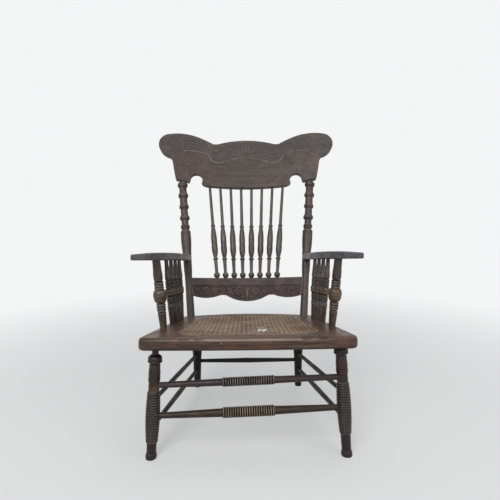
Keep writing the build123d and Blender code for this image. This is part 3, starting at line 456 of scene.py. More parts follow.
def mark_edge(material, tones):
    """The seat's front: a line along its upper edge, partly rubbed wear and partly painted highlight, and a
    few chips.
    """
    tree, surface, stained = open_finish(material)
    place = object_place(tree)
    low, high = (height * mm for height in rubbed_and_highlit_edge)
    near, far = ((front_edge + setback) * mm for setback in rubbed_and_highlit_edge_setbacks)
    line = between(tree, axis_part(tree, place, "Z"), low, high, rubbed_and_highlit_edge_blur * mm)
    fore = stretch(tree, axis_part(tree, place, "Y"), near, far, 1, 0)
    uneven = patches_of(tree, object_place(tree, grain_scales["X"]), 110, 0.36, 0.62, 0.25, 0.80)
    # Rubbed wear and painted highlight along the rounded top edge, in the bare tone
    shown = times(tree, times(tree, line, fore), uneven)
    marked = tint(tree, shown, stained, tones[3])
    for chip, radius in seat_chips:
        marked = tint(tree, near_spot(tree, chip, radius), marked, chip_colour)
    link(tree, marked, surface.inputs["Base Color"])


def reed_material():
    """The split reed pressed over the cane's edge: pale, fibrous and soiled."""
    material, tree, surface = new_material("spline_reed")
    place = object_place(tree)
    fibre = noise(tree, place, 700, 3, 0.6)
    base = tint(tree, stretch(tree, fibre, 0.35, 0.65), reed_dark, reed_pale)
    soiled = tint(tree, patches_of(tree, place, 30, 0.42, 0.66, 0, 0.8), base, brown_grime)
    gloss = stretch(tree, fibre, 0.3, 0.7, 0.42, 0.62)
    set_inputs(tree, surface, {"Base Color": soiled, "Roughness": gloss})
    add_bump(tree, surface, fibre, 0.4, 0.2)
    return material


def screw_material():
    """Old steel screws, browned, with bright rubbed edges."""
    material, tree, surface = new_material("old_steel")
    place = object_place(tree)
    spots = noise(tree, place, 800, 3, 0.6)
    base = tint(tree, patches_of(tree, place, 240, 0.40, 0.62), steel_plain, brown_grime)
    edge = stretch(tree, hollow_shade(tree, 1.5 * mm, inside=True), 0.45, 0.80, 0.6, 0)
    rubbed = tint(tree, edge, base, steel_bright)
    gloss = stretch(tree, spots, 0.3, 0.7, 0.30, 0.55)
    set_inputs(tree, surface, {"Base Color": rubbed, "Roughness": gloss, "Metallic": 0.85})
    add_bump(tree, surface, spots, 0.3, 0.1)
    return material


def dress(node_name, material):
    """Give a node of the model its finish."""
    node = cad_nodes[node_name]
    for slot in node.material_slots:
        slot.material = material
    if not node.material_slots:
        node.data.materials.append(material)


# Tones: dark stain, plain stain, rubbed red, bare worn edge
crest_tones = ((0.058, 0.045, 0.039), (0.158, 0.116, 0.102), (0.178, 0.106, 0.090), (0.330, 0.275, 0.225))
carved_tones = ((0.038, 0.026, 0.024), (0.150, 0.110, 0.102), (0.165, 0.092, 0.082), (0.300, 0.215, 0.190))
crest_carving_tones = (
    (0.055, 0.047, 0.041), (0.138, 0.116, 0.103), (0.170, 0.106, 0.094), (0.320, 0.280, 0.225),
)
rail_carving_tones = (
    (0.030, 0.018, 0.016), (0.112, 0.076, 0.069), (0.140, 0.070, 0.060), (0.290, 0.225, 0.200),
)
spindle_tones = ((0.042, 0.032, 0.025), (0.168, 0.132, 0.108), (0.180, 0.125, 0.092), (0.400, 0.330, 0.260))
arm_turning_tones = (
    (0.036, 0.024, 0.019), (0.150, 0.112, 0.096), (0.205, 0.130, 0.078), (0.420, 0.340, 0.265),
)
turned_tones = ((0.032, 0.024, 0.020), (0.142, 0.106, 0.092), (0.165, 0.104, 0.074), (0.400, 0.320, 0.245))
# Front legs: a dark stain, made darker still by painted shade, as they stand below the seat
leg_stain_and_shade_tones = ((0.007, 0.003, 0.002), (0.031, 0.013, 0.009), (0.062, 0.023, 0.012), (0.180, 0.128, 0.108))
upper_tones = ((0.024, 0.016, 0.017), (0.078, 0.055, 0.056), (0.095, 0.052, 0.050), (0.400, 0.330, 0.300))
lower_tones = ((0.026, 0.015, 0.011), (0.084, 0.051, 0.039), (0.160, 0.090, 0.040), (0.540, 0.430, 0.300))
arm_tones = ((0.070, 0.062, 0.068), (0.195, 0.176, 0.190), (0.190, 0.155, 0.158), (0.400, 0.370, 0.365))
seat_tones = ((0.046, 0.028, 0.021), (0.192, 0.124, 0.092), (0.210, 0.088, 0.062), (0.460, 0.360, 0.285))
seat_rear_tones = ((0.028, 0.024, 0.021), (0.090, 0.080, 0.070), (0.095, 0.066, 0.055), (0.200, 0.165, 0.140))
# Rear legs and rear stretcher: near black, painted shade for where they stand under the seat
painted_shade_tones = ((0.005, 0.004, 0.004), (0.015, 0.011, 0.009), (0.018, 0.011, 0.009), (0.060, 0.042, 0.034))
side_tones = ((0.010, 0.007, 0.006), (0.036, 0.025, 0.021), (0.050, 0.027, 0.021), (0.140, 0.100, 0.078))

# The ground of each board's carving, and the seed that a board's wood shares with its carving
crest_hollow = (0.072, 0.062, 0.056)
rail_hollow = (0.022, 0.012, 0.010)
crest_seed = 0.3
rail_seed = 1.1

# The last five columns of the table below, for the carvings
carving_wear = (0.2, 0.5, 0.44, 0.35, 2.6)

# Woods: how their nodes' names start, grain, tones, seed, wear, soiling and painted shade in crevices,
# roughness, figure, worn reach
seat_side_nodes = ("seat_left_rail", "seat_right_rail", "seat_cane")
woods = {
    "crest_wood": ("crest_rail", "X", crest_tones, crest_seed, 0.55, 0.9, 0.44, 0.5, 2.6),
    "carved_wood": ("lower_back_rail", "X", carved_tones, rail_seed, 0.7, 0.9, 0.44, 0.5, 2.6),
    "post_wood": ("back_post", "Z", turned_tones, 0.9, 0.6, 1.0, 0.40, 0.5, 2.4),
    "spindle_wood": ("back_spindle", "Z", spindle_tones, 1.7, 0.5, 1.0, 0.34, 0.5, 1.8),
    "arm_turning_wood": ("arm_post", "Z", arm_turning_tones, 2.3, 0.8, 1.0, 0.32, 0.5, 2.2),
    "arm_row_wood": ("arm_spindle", "Z", arm_turning_tones, 2.6, 0.8, 1.0, 0.34, 0.5, 2.2),
    "leg_wood_left": ("front_leg_left", "Z", leg_stain_and_shade_tones, 2.9, 0.9, 1.0, 0.40, 0.5, 2.2),
    "leg_wood_right": ("front_leg_right", "Z", leg_stain_and_shade_tones, 3.2, 0.9, 1.0, 0.40, 0.5, 2.2),
    "rear_leg_wood": ("rear_leg", "Z", painted_shade_tones, 3.5, 0.5, 0.7, 0.5, 0.35, 2.6),
    "arm_board_wood": (("arm_left", "arm_right"), "Y", arm_tones, 4.1, 1.0, 0.8, 0.36, 1.0, 2.8),
    "seat_wood_front": ("seat_front_rail", "X", seat_tones, 4.7, 0.9, 0.8, 0.42, 0.8, 2.6),
    "seat_wood_rear": ("seat_back_rail", "X", seat_rear_tones, 4.9, 0.5, 0.8, 0.44, 0.7, 2.6),
    "seat_wood_side": (seat_side_nodes, "Y", seat_tones, 5.3, 0.9, 0.8, 0.42, 0.7, 2.6),
    "upper_stretcher_wood": ("front_stretcher_upper", "X", upper_tones, 5.9, 1.0, 1.0, 0.42, 0.5, 1.8),
    "lower_stretcher_wood": ("front_stretcher_lower", "X", lower_tones, 6.5, 1.0, 1.0, 0.42, 0.5, 1.8),
    "side_stretcher_wood": ("side_stretcher", "Y", side_tones, 7.1, 0.6, 0.8, 0.46, 0.35, 2.6),
    "rear_stretcher_wood": ("rear_stretcher", "X", painted_shade_tones, 7.7, 0.5, 0.8, 0.5, 0.35, 2.6),
    "dowel_wood": ("seat_dowels", "Z", turned_tones, 8.3, 0.6, 0.6, 0.5, 0.3, 2.0),
}

# How much painted shade makes the sides of turned pieces darker
painted_side_shade_amounts = {
    "arm_row_wood": 0.5, "post_wood": 0.65, "spindle_wood": 0.45,
    "arm_turning_wood": 0.55, "leg_wood_left": 0.6, "leg_wood_right": 0.6,
}

# Bands on turned pieces, as heights over the floor in millimetres, some with their colour
arm_post_rings = [(440, 471), (373, 401)]
arm_post_rubs = [(401, 440, (0.200, 0.125, 0.070)), (318, 352, (0.150, 0.105, 0.055))]
arm_row_rings = (352, 490)
arm_row_rub = (392, 432, (0.190, 0.135, 0.072))
arm_row_crest = (0.200, 0.158, 0.132)
reeds_low = (1 - reed_bottom_share) * front_leg_length
reeds_high = (1 - reed_top_share) * front_leg_length
left_leg_rub_past_reeds = (-2, 16)
left_leg_rub = (0.150, 0.098, 0.045)

# How far from level the crests of rings are still rubbed
arm_post_crests = 0.2
arm_row_crests = 0.1
leg_crests = 0.24
stretcher_crests = 0.34


def finish_nodes():
    """Make every finish, with its wear, and give each node of the model its own."""
    finishes = {name: stained_wood(name, *choices) for name, (_, *choices) in woods.items()}
    arm_post, arm_row = finishes["arm_turning_wood"], finishes["arm_row_wood"]
    for low, high in arm_post_rings:
        wear_rings(arm_post, "Z", low, high, arm_turning_tones, arm_post_crests)
    for low, high, colour in arm_post_rubs:
        rub_band(arm_post, low, high, colour)
    rub_band(arm_row, *arm_row_rub)
    wear_rings(arm_row, "Z", *arm_row_rings, (*arm_turning_tones[:3], arm_row_crest), arm_row_crests)
    # Painted shade on the sides of turned pieces
    for name, amount in painted_side_shade_amounts.items():
        paint_side_shade(finishes[name], woods[name][2], amount)
    for name, slip in (("leg_wood_left", left_leg_slip), ("leg_wood_right", 0)):
        wear_rings(finishes[name], "Z", reeds_low - slip, reeds_high - slip, leg_stain_and_shade_tones, leg_crests)
    low, high = (reeds_high - left_leg_slip + past for past in left_leg_rub_past_reeds)
    rub_band(finishes["leg_wood_left"], low, high, left_leg_rub)
    half = stretcher_ringed_length / 2
    for name in ("upper_stretcher_wood", "lower_stretcher_wood"):
        wear_rings(finishes[name], "X", -half, half, woods[name][2], stretcher_crests)
    mark_edge(finishes["seat_wood_front"], seat_tones)

    fits = [(woods[name][0], finish) for name, finish in finishes.items()]
    fits += [("cane_spline", reed_material()), ("arm_screws", screw_material())]
    for node_name in cad_nodes:
        fitting = (finish for starts, finish in fits if node_name.startswith(starts))
        dress(node_name, next(fitting, finishes["side_stretcher_wood"]))


# Shapes for the dressed pieces


def new_piece(name, shape, material, body="root"):
    """Make an object of a shape, ride it on the chair and give it its finish."""
    mesh = bpy.data.meshes.new(name)
    shape.to_mesh(mesh)
    shape.free()
    piece = bpy.data.objects.new(name, mesh)
    bpy.context.scene.collection.objects.link(piece)
    mesh.materials.append(material)
    for face in mesh.polygons:
        face.use_smooth = True
    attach(piece, body)
    return piece


def turn_faces(shape, way):
    """Make a sheet's faces look one way."""
    bmesh.ops.recalc_face_normals(shape, faces=shape.faces)
    if sum(face.normal.dot(way) for face in shape.faces) < 0:
        bmesh.ops.reverse_faces(shape, faces=shape.faces)


def flowing(points, steps=8):
    """A smooth line through a few points."""
    points = np.array(points, float)
    padded = np.vstack((2 * points[0] - points[1], points, 2 * points[-1] - points[-2]))
    line = []
    for before, start, end, after in zip(padded, padded[1:], padded[2:], padded[3:]):
        for step in np.arange(steps) / steps:
            line.append(0.5 * (
                2 * start + (end - before) * step
                + (2 * before - 5 * start + 4 * end - after) * step ** 2
                + (3 * start - before - 3 * end + after) * step ** 3
            ))
    line.append(points[-1])
    return np.array(line)


def curl(centre, outer, inner, turns, start, handed):
    """A spiral that winds in from its outer end, angles in degrees."""
    steps = np.linspace(0, 1, int(26 * turns) + 2)
    angles = np.radians(start) + handed * steps * turns * 2 * math.pi
    radii = outer + (inner - outer) * steps ** 0.85
    return np.column_stack((centre[0] + radii * np.cos(angles), centre[1] + radii * np.sin(angles)))


def gap_to_line(places, line, widths):
    """Distance of each place from a line, as a share of the line's own width there."""
    nearest = np.full(len(places), 9.0)
    for start, end, wide, narrow in zip(line, line[1:], widths, widths[1:]):
        run = end - start
        share = np.clip(((places - start) @ run) / max(run @ run, 1e-9), 0, 1)
        gap = np.linalg.norm(places - start - share[:, None] * run, axis=1)
        nearest = np.minimum(nearest, gap / (wide + (narrow - wide) * share))
    return nearest


def ridge(places, line, width, taper=0.35, leaf=False):
    """Height share of a carved ridge along a line: full on the line and none at its width."""
    steps = np.linspace(0, 1, len(line))
    if leaf:
        widths = width * (0.18 + 0.82 * np.sin(math.pi * np.clip(steps, 0.02, 0.98)) ** 0.7)
    else:
        widths = width * (1 - (1 - taper) * steps)
    gap = gap_to_line(places, line, widths)
    return np.sqrt(np.clip(1 - gap ** 2, 0, 1))


def inside(places, outline):
    """Whether each place lies inside a closed outline."""
    within = np.zeros(len(places), bool)
    for start, end in zip(outline, np.roll(outline, -1, axis=0)):
        crosses = (start[1] > places[:, 1]) != (end[1] > places[:, 1])
        rise = end[1] - start[1]
        if rise:
            reach = start[0] + (places[:, 1] - start[1]) * (end[0] - start[0]) / rise
            within ^= crosses & (places[:, 0] < reach)
    return within


def board_surface(across, rise, height, bow, span, thickness):
    """A point on a bent board's front, raised by a height."""
    radius = (span ** 2 / 4 + bow ** 2) / (2 * bow)
    front = radius - thickness / 2
    behind = math.sqrt(front ** 2 - across ** 2)
    raised = (front - height) / front
    return back_base + Vector((across * raised, 0, 0)) + back_up * rise \
        + back_behind * (behind * raised + bow - radius)


# How a carving's rim slopes: its width, how deep it dips outside, how far the carving is set back,
# and how many pitches of its sheet are kept outside
carving_slope = 1.2
carving_fall = 0.6
carving_sink = 0.15
carving_margin = 2.2


def carve(name, board, outline, window, pitch, heights, material):
    """A carved skin on a bent board: an even sheet, raised where the carving stands.

    Heights gives each place its relief and how light it is rubbed. The left half mirrors the right.
    """
    bow, span, thickness = board
    low, high = window
    wide, tall = high[0] - low[0], high[1] - low[1]
    shape = bmesh.new()
    bmesh.ops.create_grid(
        shape, x_segments=round(wide / pitch), y_segments=round(tall / pitch), size=0.5
    )
    middle = ((low[0] + high[0]) / 2, (low[1] + high[1]) / 2)
    shape.verts.ensure_lookup_table()
    places = np.array([(middle[0] + vert.co.x * wide, middle[1] + vert.co.y * tall) for vert in shape.verts])
    halves = np.column_stack((np.abs(places[:, 0]), places[:, 1]))
    rim = gap_to_line(halves, outline, np.ones(len(outline)))
    depth = np.where(inside(halves, outline), rim, -rim)
    relief, light = heights(places, halves, depth)
    settle = np.clip(depth / carving_slope, -1, 1)
    level = np.where(settle > 0, settle * relief, settle * carving_fall) - carving_sink
    share = shape.verts.layers.float.new("carving")
    for vert, place, height, worn in zip(shape.verts, places, level, light):
        vert.co = board_surface(place[0], place[1], height, bow, span, thickness) * mm
        vert[share] = float(worn)
    outside = [vert for vert, reach in zip(shape.verts, depth) if reach < -carving_margin * pitch]
    bmesh.ops.delete(shape, geom=outside, context="VERTS")
    turn_faces(shape, (0, -1, 0))
    return new_piece(name, shape, material)


scroll_taper = 0.7
rim_rise = 0.9


def ornament(places, halves, leaves, curls, marks, mark_depth, ground, foot, leaf, vein, vein_width, scroll):
    """Heights of a tooled ground with veined leaves and scrolls that rise from their foot."""
    ripple = np.sin(places[:, 0] * marks[0]) * np.sin(places[:, 1] * marks[1])
    height = ground + mark_depth * ripple
    for line, width in leaves:
        smooth = flowing(line)
        height = np.maximum(height, foot + leaf * ridge(halves, smooth, width, leaf=True))
        height = height - vein * ridge(halves, smooth, vein_width)
    for centre, outer, inner, turns, start, handed, width in curls:
        spiral = curl(centre, outer, inner, turns, start, handed)
        height = np.maximum(height, foot + scroll * ridge(halves, spiral, width, scroll_taper))
    return height


def rim_line(depth, middle, half):
    """A raised line along a carving's rim, 1 at its middle and 0 at half its width."""
    return np.clip(1 - np.abs(depth - middle) / half, 0, 1)


# Crest carving, as places on the board: across, and up from the seat

crest_field_edge = [
    (-2, 624), (40, 620), (66, 613), (92, 603), (110, 600), (126, 602), (142, 614), (152, 634),
    (175, 641), (199, 645), (225, 645), (246, 642), (268, 632), (290, 621), (304, 621), (320, 631),
    (331, 648), (334, 664), (331, 682), (321, 697), (304, 706), (280, 711), (255, 713), (225, 711),
    (200, 706), (176, 698), (152, 688), (133, 678), (114, 678), (90, 684), (60, 691), (30, 695), (-2, 697),
]
crest_border = [
    (0, 627), (40, 623), (66, 616), (92, 606), (110, 603.5), (125, 606), (140, 618), (150, 636),
    (175, 644), (199, 648), (225, 648), (246, 645),
]
crest_curls = [
    # centre, outer and inner radius, turns, starting angle, way round, width
    ((74, 656), 17, 3, 1.6, 250, 1, 2.3),
    ((104, 634), 14, 3, 1.4, 60, 1, 2.2),
    ((120, 660), 11, 2, 1.3, 300, -1, 2.0),
    ((36, 664), 12, 2, 1.3, 200, 1, 2.0),
    ((296, 664), 22, 4, 1.5, 250, 1, 2.2),
]
crest_leaves = [
    ([(0, 634), (0, 660), (0, 690)], 4.5),
    ([(5, 634), (12, 658), (14, 686)], 4.0),
    ([(9, 632), (26, 648), (30, 672)], 4.0),
    ([(12, 630), (36, 638), (52, 634)], 3.6),
    ([(44, 646), (54, 640), (64, 630)], 3.4),
    ([(48, 678), (60, 684), (76, 682)], 3.4),
    ([(86, 672), (96, 674), (108, 672)], 3.2),
    ([(90, 612), (102, 609), (116, 611)], 3.0),
    ([(124, 620), (132, 634), (144, 648)], 3.4),
    ([(132, 650), (142, 664), (156, 676)], 3.4),
    ([(126, 672), (140, 676), (154, 684)], 3.0),
]
crest_flutes = [
    ([(150, 646), (176, 655), (208, 660), (240, 657)], 2.2),
    ([(152, 656), (180, 665), (210, 670), (240, 668)], 2.0),
    ([(156, 667), (184, 677), (214, 682), (242, 680)], 2.0),
    ([(164, 680), (192, 690), (220, 695), (250, 693)], 2.2),
    ([(176, 693), (202, 702), (232, 706), (262, 704)], 2.2),
    ([(252, 692), (246, 676), (247, 660), (256, 645)], 2.2),
    ([(262, 698), (256, 678), (257, 660), (266, 644)], 2.0),
    ([(228, 600), (236, 586), (248, 572), (260, 562)], 2.4),
]
crest_stem = [(14, 628), (50, 624), (84, 616), (110, 618), (130, 636), (144, 654)]
crest_window = ((-338, 596), (338, 718))
crest_pitch = 1.25
crest_foot = 0.3
crest_ornament = dict(
    marks=(2.1, 2.3), mark_depth=0.10, ground=0.35, foot=crest_foot, leaf=1.2, vein=0.35, vein_width=0.7,
    scroll=1.3,
)
flute_rise = 1.1
flute_taper = 0.8
stem_rise = 0.7
stem_width = 2.0
stem_taper = 0.6
border_rise = 1.3
border_width = 2.0
crest_rim = (2.6, 1.9)
crest_rim_above = 655
crest_rim_beyond = 285
crest_relief_light = 0.45
border_rub_and_highlight = 1.1
lobe_light = 0.42
lobe_start = 225
lobe_fade = 40


def crest_heights(places, halves, depth):
    """How high the crest's carving stands at each place, and how rubbed and light it is there."""
    height = ornament(places, halves, crest_leaves, crest_curls, **crest_ornament)
    for line, width in crest_flutes:
        flute = ridge(halves, flowing(line), width, flute_taper)
        height = np.maximum(height, crest_foot + flute_rise * flute)
    stem = ridge(halves, flowing(crest_stem), stem_width, stem_taper)
    height = np.maximum(height, crest_foot + stem_rise * stem)
    border = ridge(halves, flowing(crest_border), border_width, 1)
    height = np.maximum(height, border_rise * border)
    rimmed = (halves[:, 1] > crest_rim_above) | (halves[:, 0] > crest_rim_beyond)
    height = np.where(rimmed, np.maximum(height, rim_rise * rim_line(depth, *crest_rim)), height)
    # The border bead is light partly from rubbing and partly as a painted highlight
    light = crest_relief_light * height + border_rub_and_highlight * border
    lobe = np.clip((halves[:, 0] - lobe_start) / lobe_fade, 0, 1)
    return height, np.maximum(light, lobe_light * lobe)


# Lower rail carving

rail_field_edge = [
    (-2, 115), (60, 115), (120, 115), (196, 115), (198, 96), (196, 82), (180, 75.5), (154, 72.5),
    (126, 75.5), (102, 83), (92, 85), (82, 83), (66, 77), (52, 70), (30, 62.5), (-2, 60),
]
rail_curls = [
    # centre, outer and inner radius, turns, starting angle, way round, width
    ((34, 91), 15, 3, 1.6, 100, 1, 2.2),
    ((66, 96), 10, 2, 1.3, 300, -1, 1.9),
    ((92, 96), 8, 2, 1.2, 160, 1, 1.8),
    ((118, 92), 11, 2, 1.4, 160, -1, 2.0),
    ((149, 92), 14, 3, 1.5, 20, 1, 2.1),
    ((180, 97), 9, 2, 1.3, 100, -1, 1.8),
]
rail_leaves = [
    ([(0, 64), (1, 84), (0, 106)], 3.6),
    ([(6, 66), (16, 70), (24, 68)], 2.6),
    ([(4, 92), (9, 101), (16, 107)], 2.6),
    ([(14, 108), (24, 110), (34, 108)], 2.0),
    ([(48, 76), (56, 82), (58, 90)], 2.6),
    ([(48, 106), (60, 110), (74, 108)], 2.2),
    ([(76, 86), (84, 88), (92, 86)], 2.4),
    ([(98, 104), (104, 100), (106, 94)], 2.2),
    ([(102, 108), (116, 109), (130, 107)], 2.2),
    ([(130, 78), (140, 77), (148, 77)], 2.2),
    ([(166, 108), (168, 100), (168, 92)], 2.2),
    ([(160, 78), (172, 82), (184, 86)], 2.4),
]
rail_window = ((-202, 56), (202, 116))
rail_pitch = 1.0
rail_ornament = dict(
    marks=(2.5, 2.7), mark_depth=0.12, ground=0.3, foot=0.25, leaf=1.3, vein=0.3, vein_width=0.6, scroll=1.4,
)
rail_rim = (1.6, 1.4)
rail_rim_below = 100
groove_rise = 112
groove_half = 1.6
groove_flat = 1.4
groove_cut = 0.8
groove_floor = 0.3
rail_relief_light = 0.6
groove_painted_shade = 1.6


def rail_heights(places, halves, depth):
    """How high the rail's carving stands at each place, and how rubbed and light it is there, with painted
    shade in its cut groove.
    """
    height = ornament(places, halves, rail_leaves, rail_curls, **rail_ornament)
    rimmed = halves[:, 1] < rail_rim_below
    height = np.where(rimmed, np.maximum(height, rim_rise * rim_line(depth, *rail_rim)), height)
    groove = np.clip(groove_flat - np.abs(halves[:, 1] - groove_rise) / groove_half, 0, 1)
    # The cut groove gets a low light value, which paints shade in it
    light = rail_relief_light * height - groove_painted_shade * groove
    return np.maximum(height * (1 - groove_cut * groove), groove_floor), light


def carving_material(name, tones, hollow, seed):
    """The boards' stain on carving: dark in the ground, rubbed and lighter on what stands proud."""
    material = stained_wood(name, "X", tones, seed, *carving_wear)
    tree, surface, stained = open_finish(material)
    dark, bare = tones[0], tones[3]
    relief = vertex_value(tree, "carving")
    place = object_place(tree, turn=(0, 0, seed))
    ragged = combine(tree, "SUBTRACT", noise(tree, place, 190, 3, 0.6), 0.5)
    rubbed_share = combine(tree, "ADD", relief, times(tree, ragged, 1.3))
    deep = tint(tree, stretch(tree, rubbed_share, -0.1, 0.60, 0.85, 0), stained, hollow)
    # Painted shade in the cut groove, where the carving's light value falls below zero
    groove = stretch(tree, relief, -1.0, -0.1, 1, 0)
    deep = tint(tree, groove, deep, darker(dark, painted_carving_groove_shade))
    uneven = patches_of(tree, place, 34, 0.38, 0.62, 0.15, 0.8)
    proud = times(tree, stretch(tree, rubbed_share, 0.45, 1.15), uneven)
    link(tree, tint(tree, proud, deep, bare), surface.inputs["Base Color"])
    return material


def add_carvings():
    """The carved skins of the crest and of the lower back rail."""
    carve(
        "crest_carving", crest_board, flowing(crest_field_edge, 5), crest_window, crest_pitch, crest_heights,
        carving_material("crest_carving_wood", crest_carving_tones, crest_hollow, crest_seed),
    )
    carve(
        "rail_carving", rail_board, flowing(rail_field_edge, 5), rail_window, rail_pitch, rail_heights,
        carving_material("rail_carving_wood", rail_carving_tones, rail_hollow, rail_seed),
    )


# Woven cane

cane_pitch = 13.4
pair_offset = 1.6
pair_width = 1.9
diagonal_width = 2.3
cane_layer = 0.62
pair_wave = 0.42
diagonal_wave = 0.95
cane_depth = 0.7
strand_crown = 0.32
cane_sag = 3.0
cane_sag_reach = (180, 200)
cane_groove_reach = -1.5
cane_middle = (cane_front_setback + cane_rear_setback + cane_rear_bow) / 2

# Torn cane: how far frays, hanging ends and the painted shadow on them reach, where the tear is, how ragged
# it is, how far front ends stand up at its core and rear ends hang, and the lift at which an end's fray is
# full
fray_reach = 15.0
hanging_reach = 34.0
tear_middle = (35.0, 126.0)
tear_half = (17.0, 29.0)
tear_core = 40.0
tear_step = 1.0
tear_ragged = (-3, 6)
tear_lift = 7
least_lift_share = 0.08
tear_hang = (-26, -12)
full_fray_lift = 4

# The shortest edge of an outline, line inside it and strand that count, and a place past everything
shortest_edge = 1
shortest_line = 6
shortest_strand = 4
far_out = 2000.0

# Points on the arcs of the cane's outline, and tries when its rear corner is looked for
arc_points = (14, 12, 16)
corner_tries = 2000

# Least and most light of the strands that run each way
lengthwise_shades = (0.55, 1)
crosswise_shades = (0.2, 0.8)
rising_shades = (0, 0.5)
falling_shades = (0, 0.45)

cane_dark = (0.200, 0.132, 0.087)
cane_pale = (0.56, 0.412, 0.278)
cane_soil = (0.17, 0.095, 0.060)
cane_specks = (0.14, 0.09, 0.06)
cane_red = (0.20, 0.075, 0.040)
cane_grime_and_shade = (0.045, 0.028, 0.020)
cane_shadow = (0.030, 0.021, 0.017)
cane_frayed = (0.70, 0.63, 0.54)

tear_shares = [
    (-1.00, 0.05), (-0.62, -0.45), (-0.20, -1.00), (0.25, -0.62), (0.55, -0.85), (1.00, -0.12),
    (0.70, 0.30), (0.45, 1.00), (0.05, 0.62), (-0.45, 0.80),
]
tear_outline = np.array(tear_middle) + np.array(tear_shares) * tear_half


def arc(centre, radius, start, end, count):
    """Points on an arc between two angles in degrees."""
    angles = np.radians(np.linspace(start, end, count))
    return np.column_stack((centre[0] + radius * np.cos(angles), centre[1] + radius * np.sin(angles)))


def cane_edge(growth):
    """The cane's outline on the seat, as places across and along it."""
    side = np.array((cane_rear_half - cane_front_half, cane_rear_setback - cane_front_setback))
    side = side / np.linalg.norm(side)
    outward = np.array((side[1], -side[0]))
    lean = math.degrees(math.atan2(outward[1], outward[0]))

    def along_side(setback, inset):
        run = (setback - cane_front_setback) / side[1]
        place = np.array((cane_front_half, cane_front_setback)) + side * run
        return place[0] - (inset / outward[0])

    front_centre_setback = cane_front_setback + cane_front_corner
    front_centre = (along_side(front_centre_setback, cane_front_corner), front_centre_setback)
    big = (cane_rear_half ** 2 + cane_rear_bow ** 2) / (2 * cane_rear_bow)
    big_setback = cane_rear_setback + cane_rear_bow - big
    reach = big - cane_rear_corner
    setbacks = np.linspace(cane_rear_setback - 3 * cane_rear_corner, cane_rear_setback, corner_tries)
    widths = np.array([along_side(setback, cane_rear_corner) for setback in setbacks])
    miss = np.abs(np.hypot(widths, setbacks - big_setback) - reach)
    best = int(np.argmin(miss))
    rear_centre = (widths[best], setbacks[best])
    rear_turn = math.degrees(math.atan2(rear_centre[1] - big_setback, rear_centre[0]))
    right = np.vstack((
        arc(front_centre, cane_front_corner + growth, -90, lean, arc_points[0]),
        arc(rear_centre, cane_rear_corner + growth, lean, rear_turn, arc_points[1]),
        arc((0, big_setback), big + growth, rear_turn, 90, arc_points[2]),
    ))
    left = right[::-1][1:] * (-1, 1)
    return np.vstack((right, left))


def span_inside(start, direction, outline):
    """How far a line runs inside a rounded outline, as two distances from start."""
    low, high = -far_out, far_out
    for first, second in zip(outline, np.roll(outline, -1, axis=0)):
        edge = second - first
        if edge @ edge < shortest_edge:
            continue
        inward = np.array((-edge[1], edge[0]))
        facing = inward @ direction
        reach = inward @ (first - start)
        if abs(facing) < 1e-9:
            if reach > 0:
                return None
        elif facing > 0:
            low = max(low, reach / facing)
        else:
            high = min(high, reach / facing)
    return (low, high) if high - low > shortest_line else None


def seat_place(across, along, lift):
    """A point over the seat's plane, in metres."""
    return (seat_origin + Vector((across, 0, 0)) + seat_along * along + seat_up * lift) * mm


def cane_dip(across, along):
    """How far the old cane sags under its rim."""
    far = math.hypot(across / cane_sag_reach[0], (along - cane_middle) / cane_sag_reach[1])
    return cane_sag * max(0.0, 1 - far ** 2)


def strand(shape, layers, shade, start, end, width, wave, droop):
    """One flat strand of cane between two places, waving over and under the others.

    Droop is how far its start and its end bend up from the seat, or down where it is negative.
    """
    run = end - start
    length = float(np.linalg.norm(run))
    direction = run / length
    across = np.array((-direction[1], direction[0]))
    count = max(2, round(length / (cane_pitch / 4)))
    made = bmesh.ops.create_grid(shape, x_segments=count, y_segments=2, size=0.5)["verts"]
    for vert in made:
        share = vert.co.x + 0.5
        side = vert.co.y
        place = start + run * share + across * side * width
        centre = start + run * share
        crown = strand_crown * (1 - (2 * side) ** 2)
        bend = droop[0] * max(0, 1 - share * length / hanging_reach) ** 2
        bend += droop[1] * max(0, 1 - (1 - share) * length / hanging_reach) ** 2
        lift = wave(centre) + crown - cane_layer - cane_dip(*centre) + bend
        vert.co = seat_place(place[0], place[1], lift)
        vert[layers[0]] = shade
        split = max(0, 1 - (1 - share) * length / fray_reach) * min(1, droop[1] / full_fray_lift)
        # Ends that hang into the tear carry painted shadow, stored below zero
        shaded = max(0, 1 - share * length / hanging_reach) if droop[0] else 0
        vert[layers[1]] = split - shaded


def weave(name, lines, width, material, shades):
    """A set of strands, cut off at the groove and at the tear."""
    outline = cane_edge(cane_groove_reach)
    dice = np.random.default_rng(len(name))
    shape = bmesh.new()
    layers = (shape.verts.layers.float.new("shade"), shape.verts.layers.float.new("fray_and_shadow"))
    for start, direction, wave in lines:
        start = np.array(start)
        direction = np.array(direction) / np.linalg.norm(direction)
        reach = span_inside(start, direction, outline)
        if reach is None:
            continue
        steps = np.arange(reach[0], reach[1], tear_step)
        places = start + steps[:, None] * direction
        cut = inside(places, tear_outline)
        torn = steps[cut]
        shade = float(dice.uniform(*shades))
        runs = [(reach[0], reach[1], (0, 0))]
        if len(torn):
            loose = dice.uniform(*tear_ragged, 2)
            near_core = max(least_lift_share, 1 - abs(places[cut][0][0] - tear_core) / tear_half[0])
            lift, dip = tear_lift * near_core, dice.uniform(*tear_hang)
            runs = [
                (reach[0], torn[0] + 2 * loose[0], (0, lift)),
                (torn[-1] - loose[1], reach[1], (dip, 0)),
            ]
        for low, high, droop in runs:
            if high - low > shortest_strand:
                ends = start + direction * low, start + direction * high
                strand(shape, layers, shade, *ends, width, wave, droop)
    turn_faces(shape, (0, 0, 1))
    piece = new_piece(name, shape, material)
    body = piece.modifiers.new("strand_body", "SOLIDIFY")
    body.thickness = cane_depth * mm
    body.offset = -1
    return piece


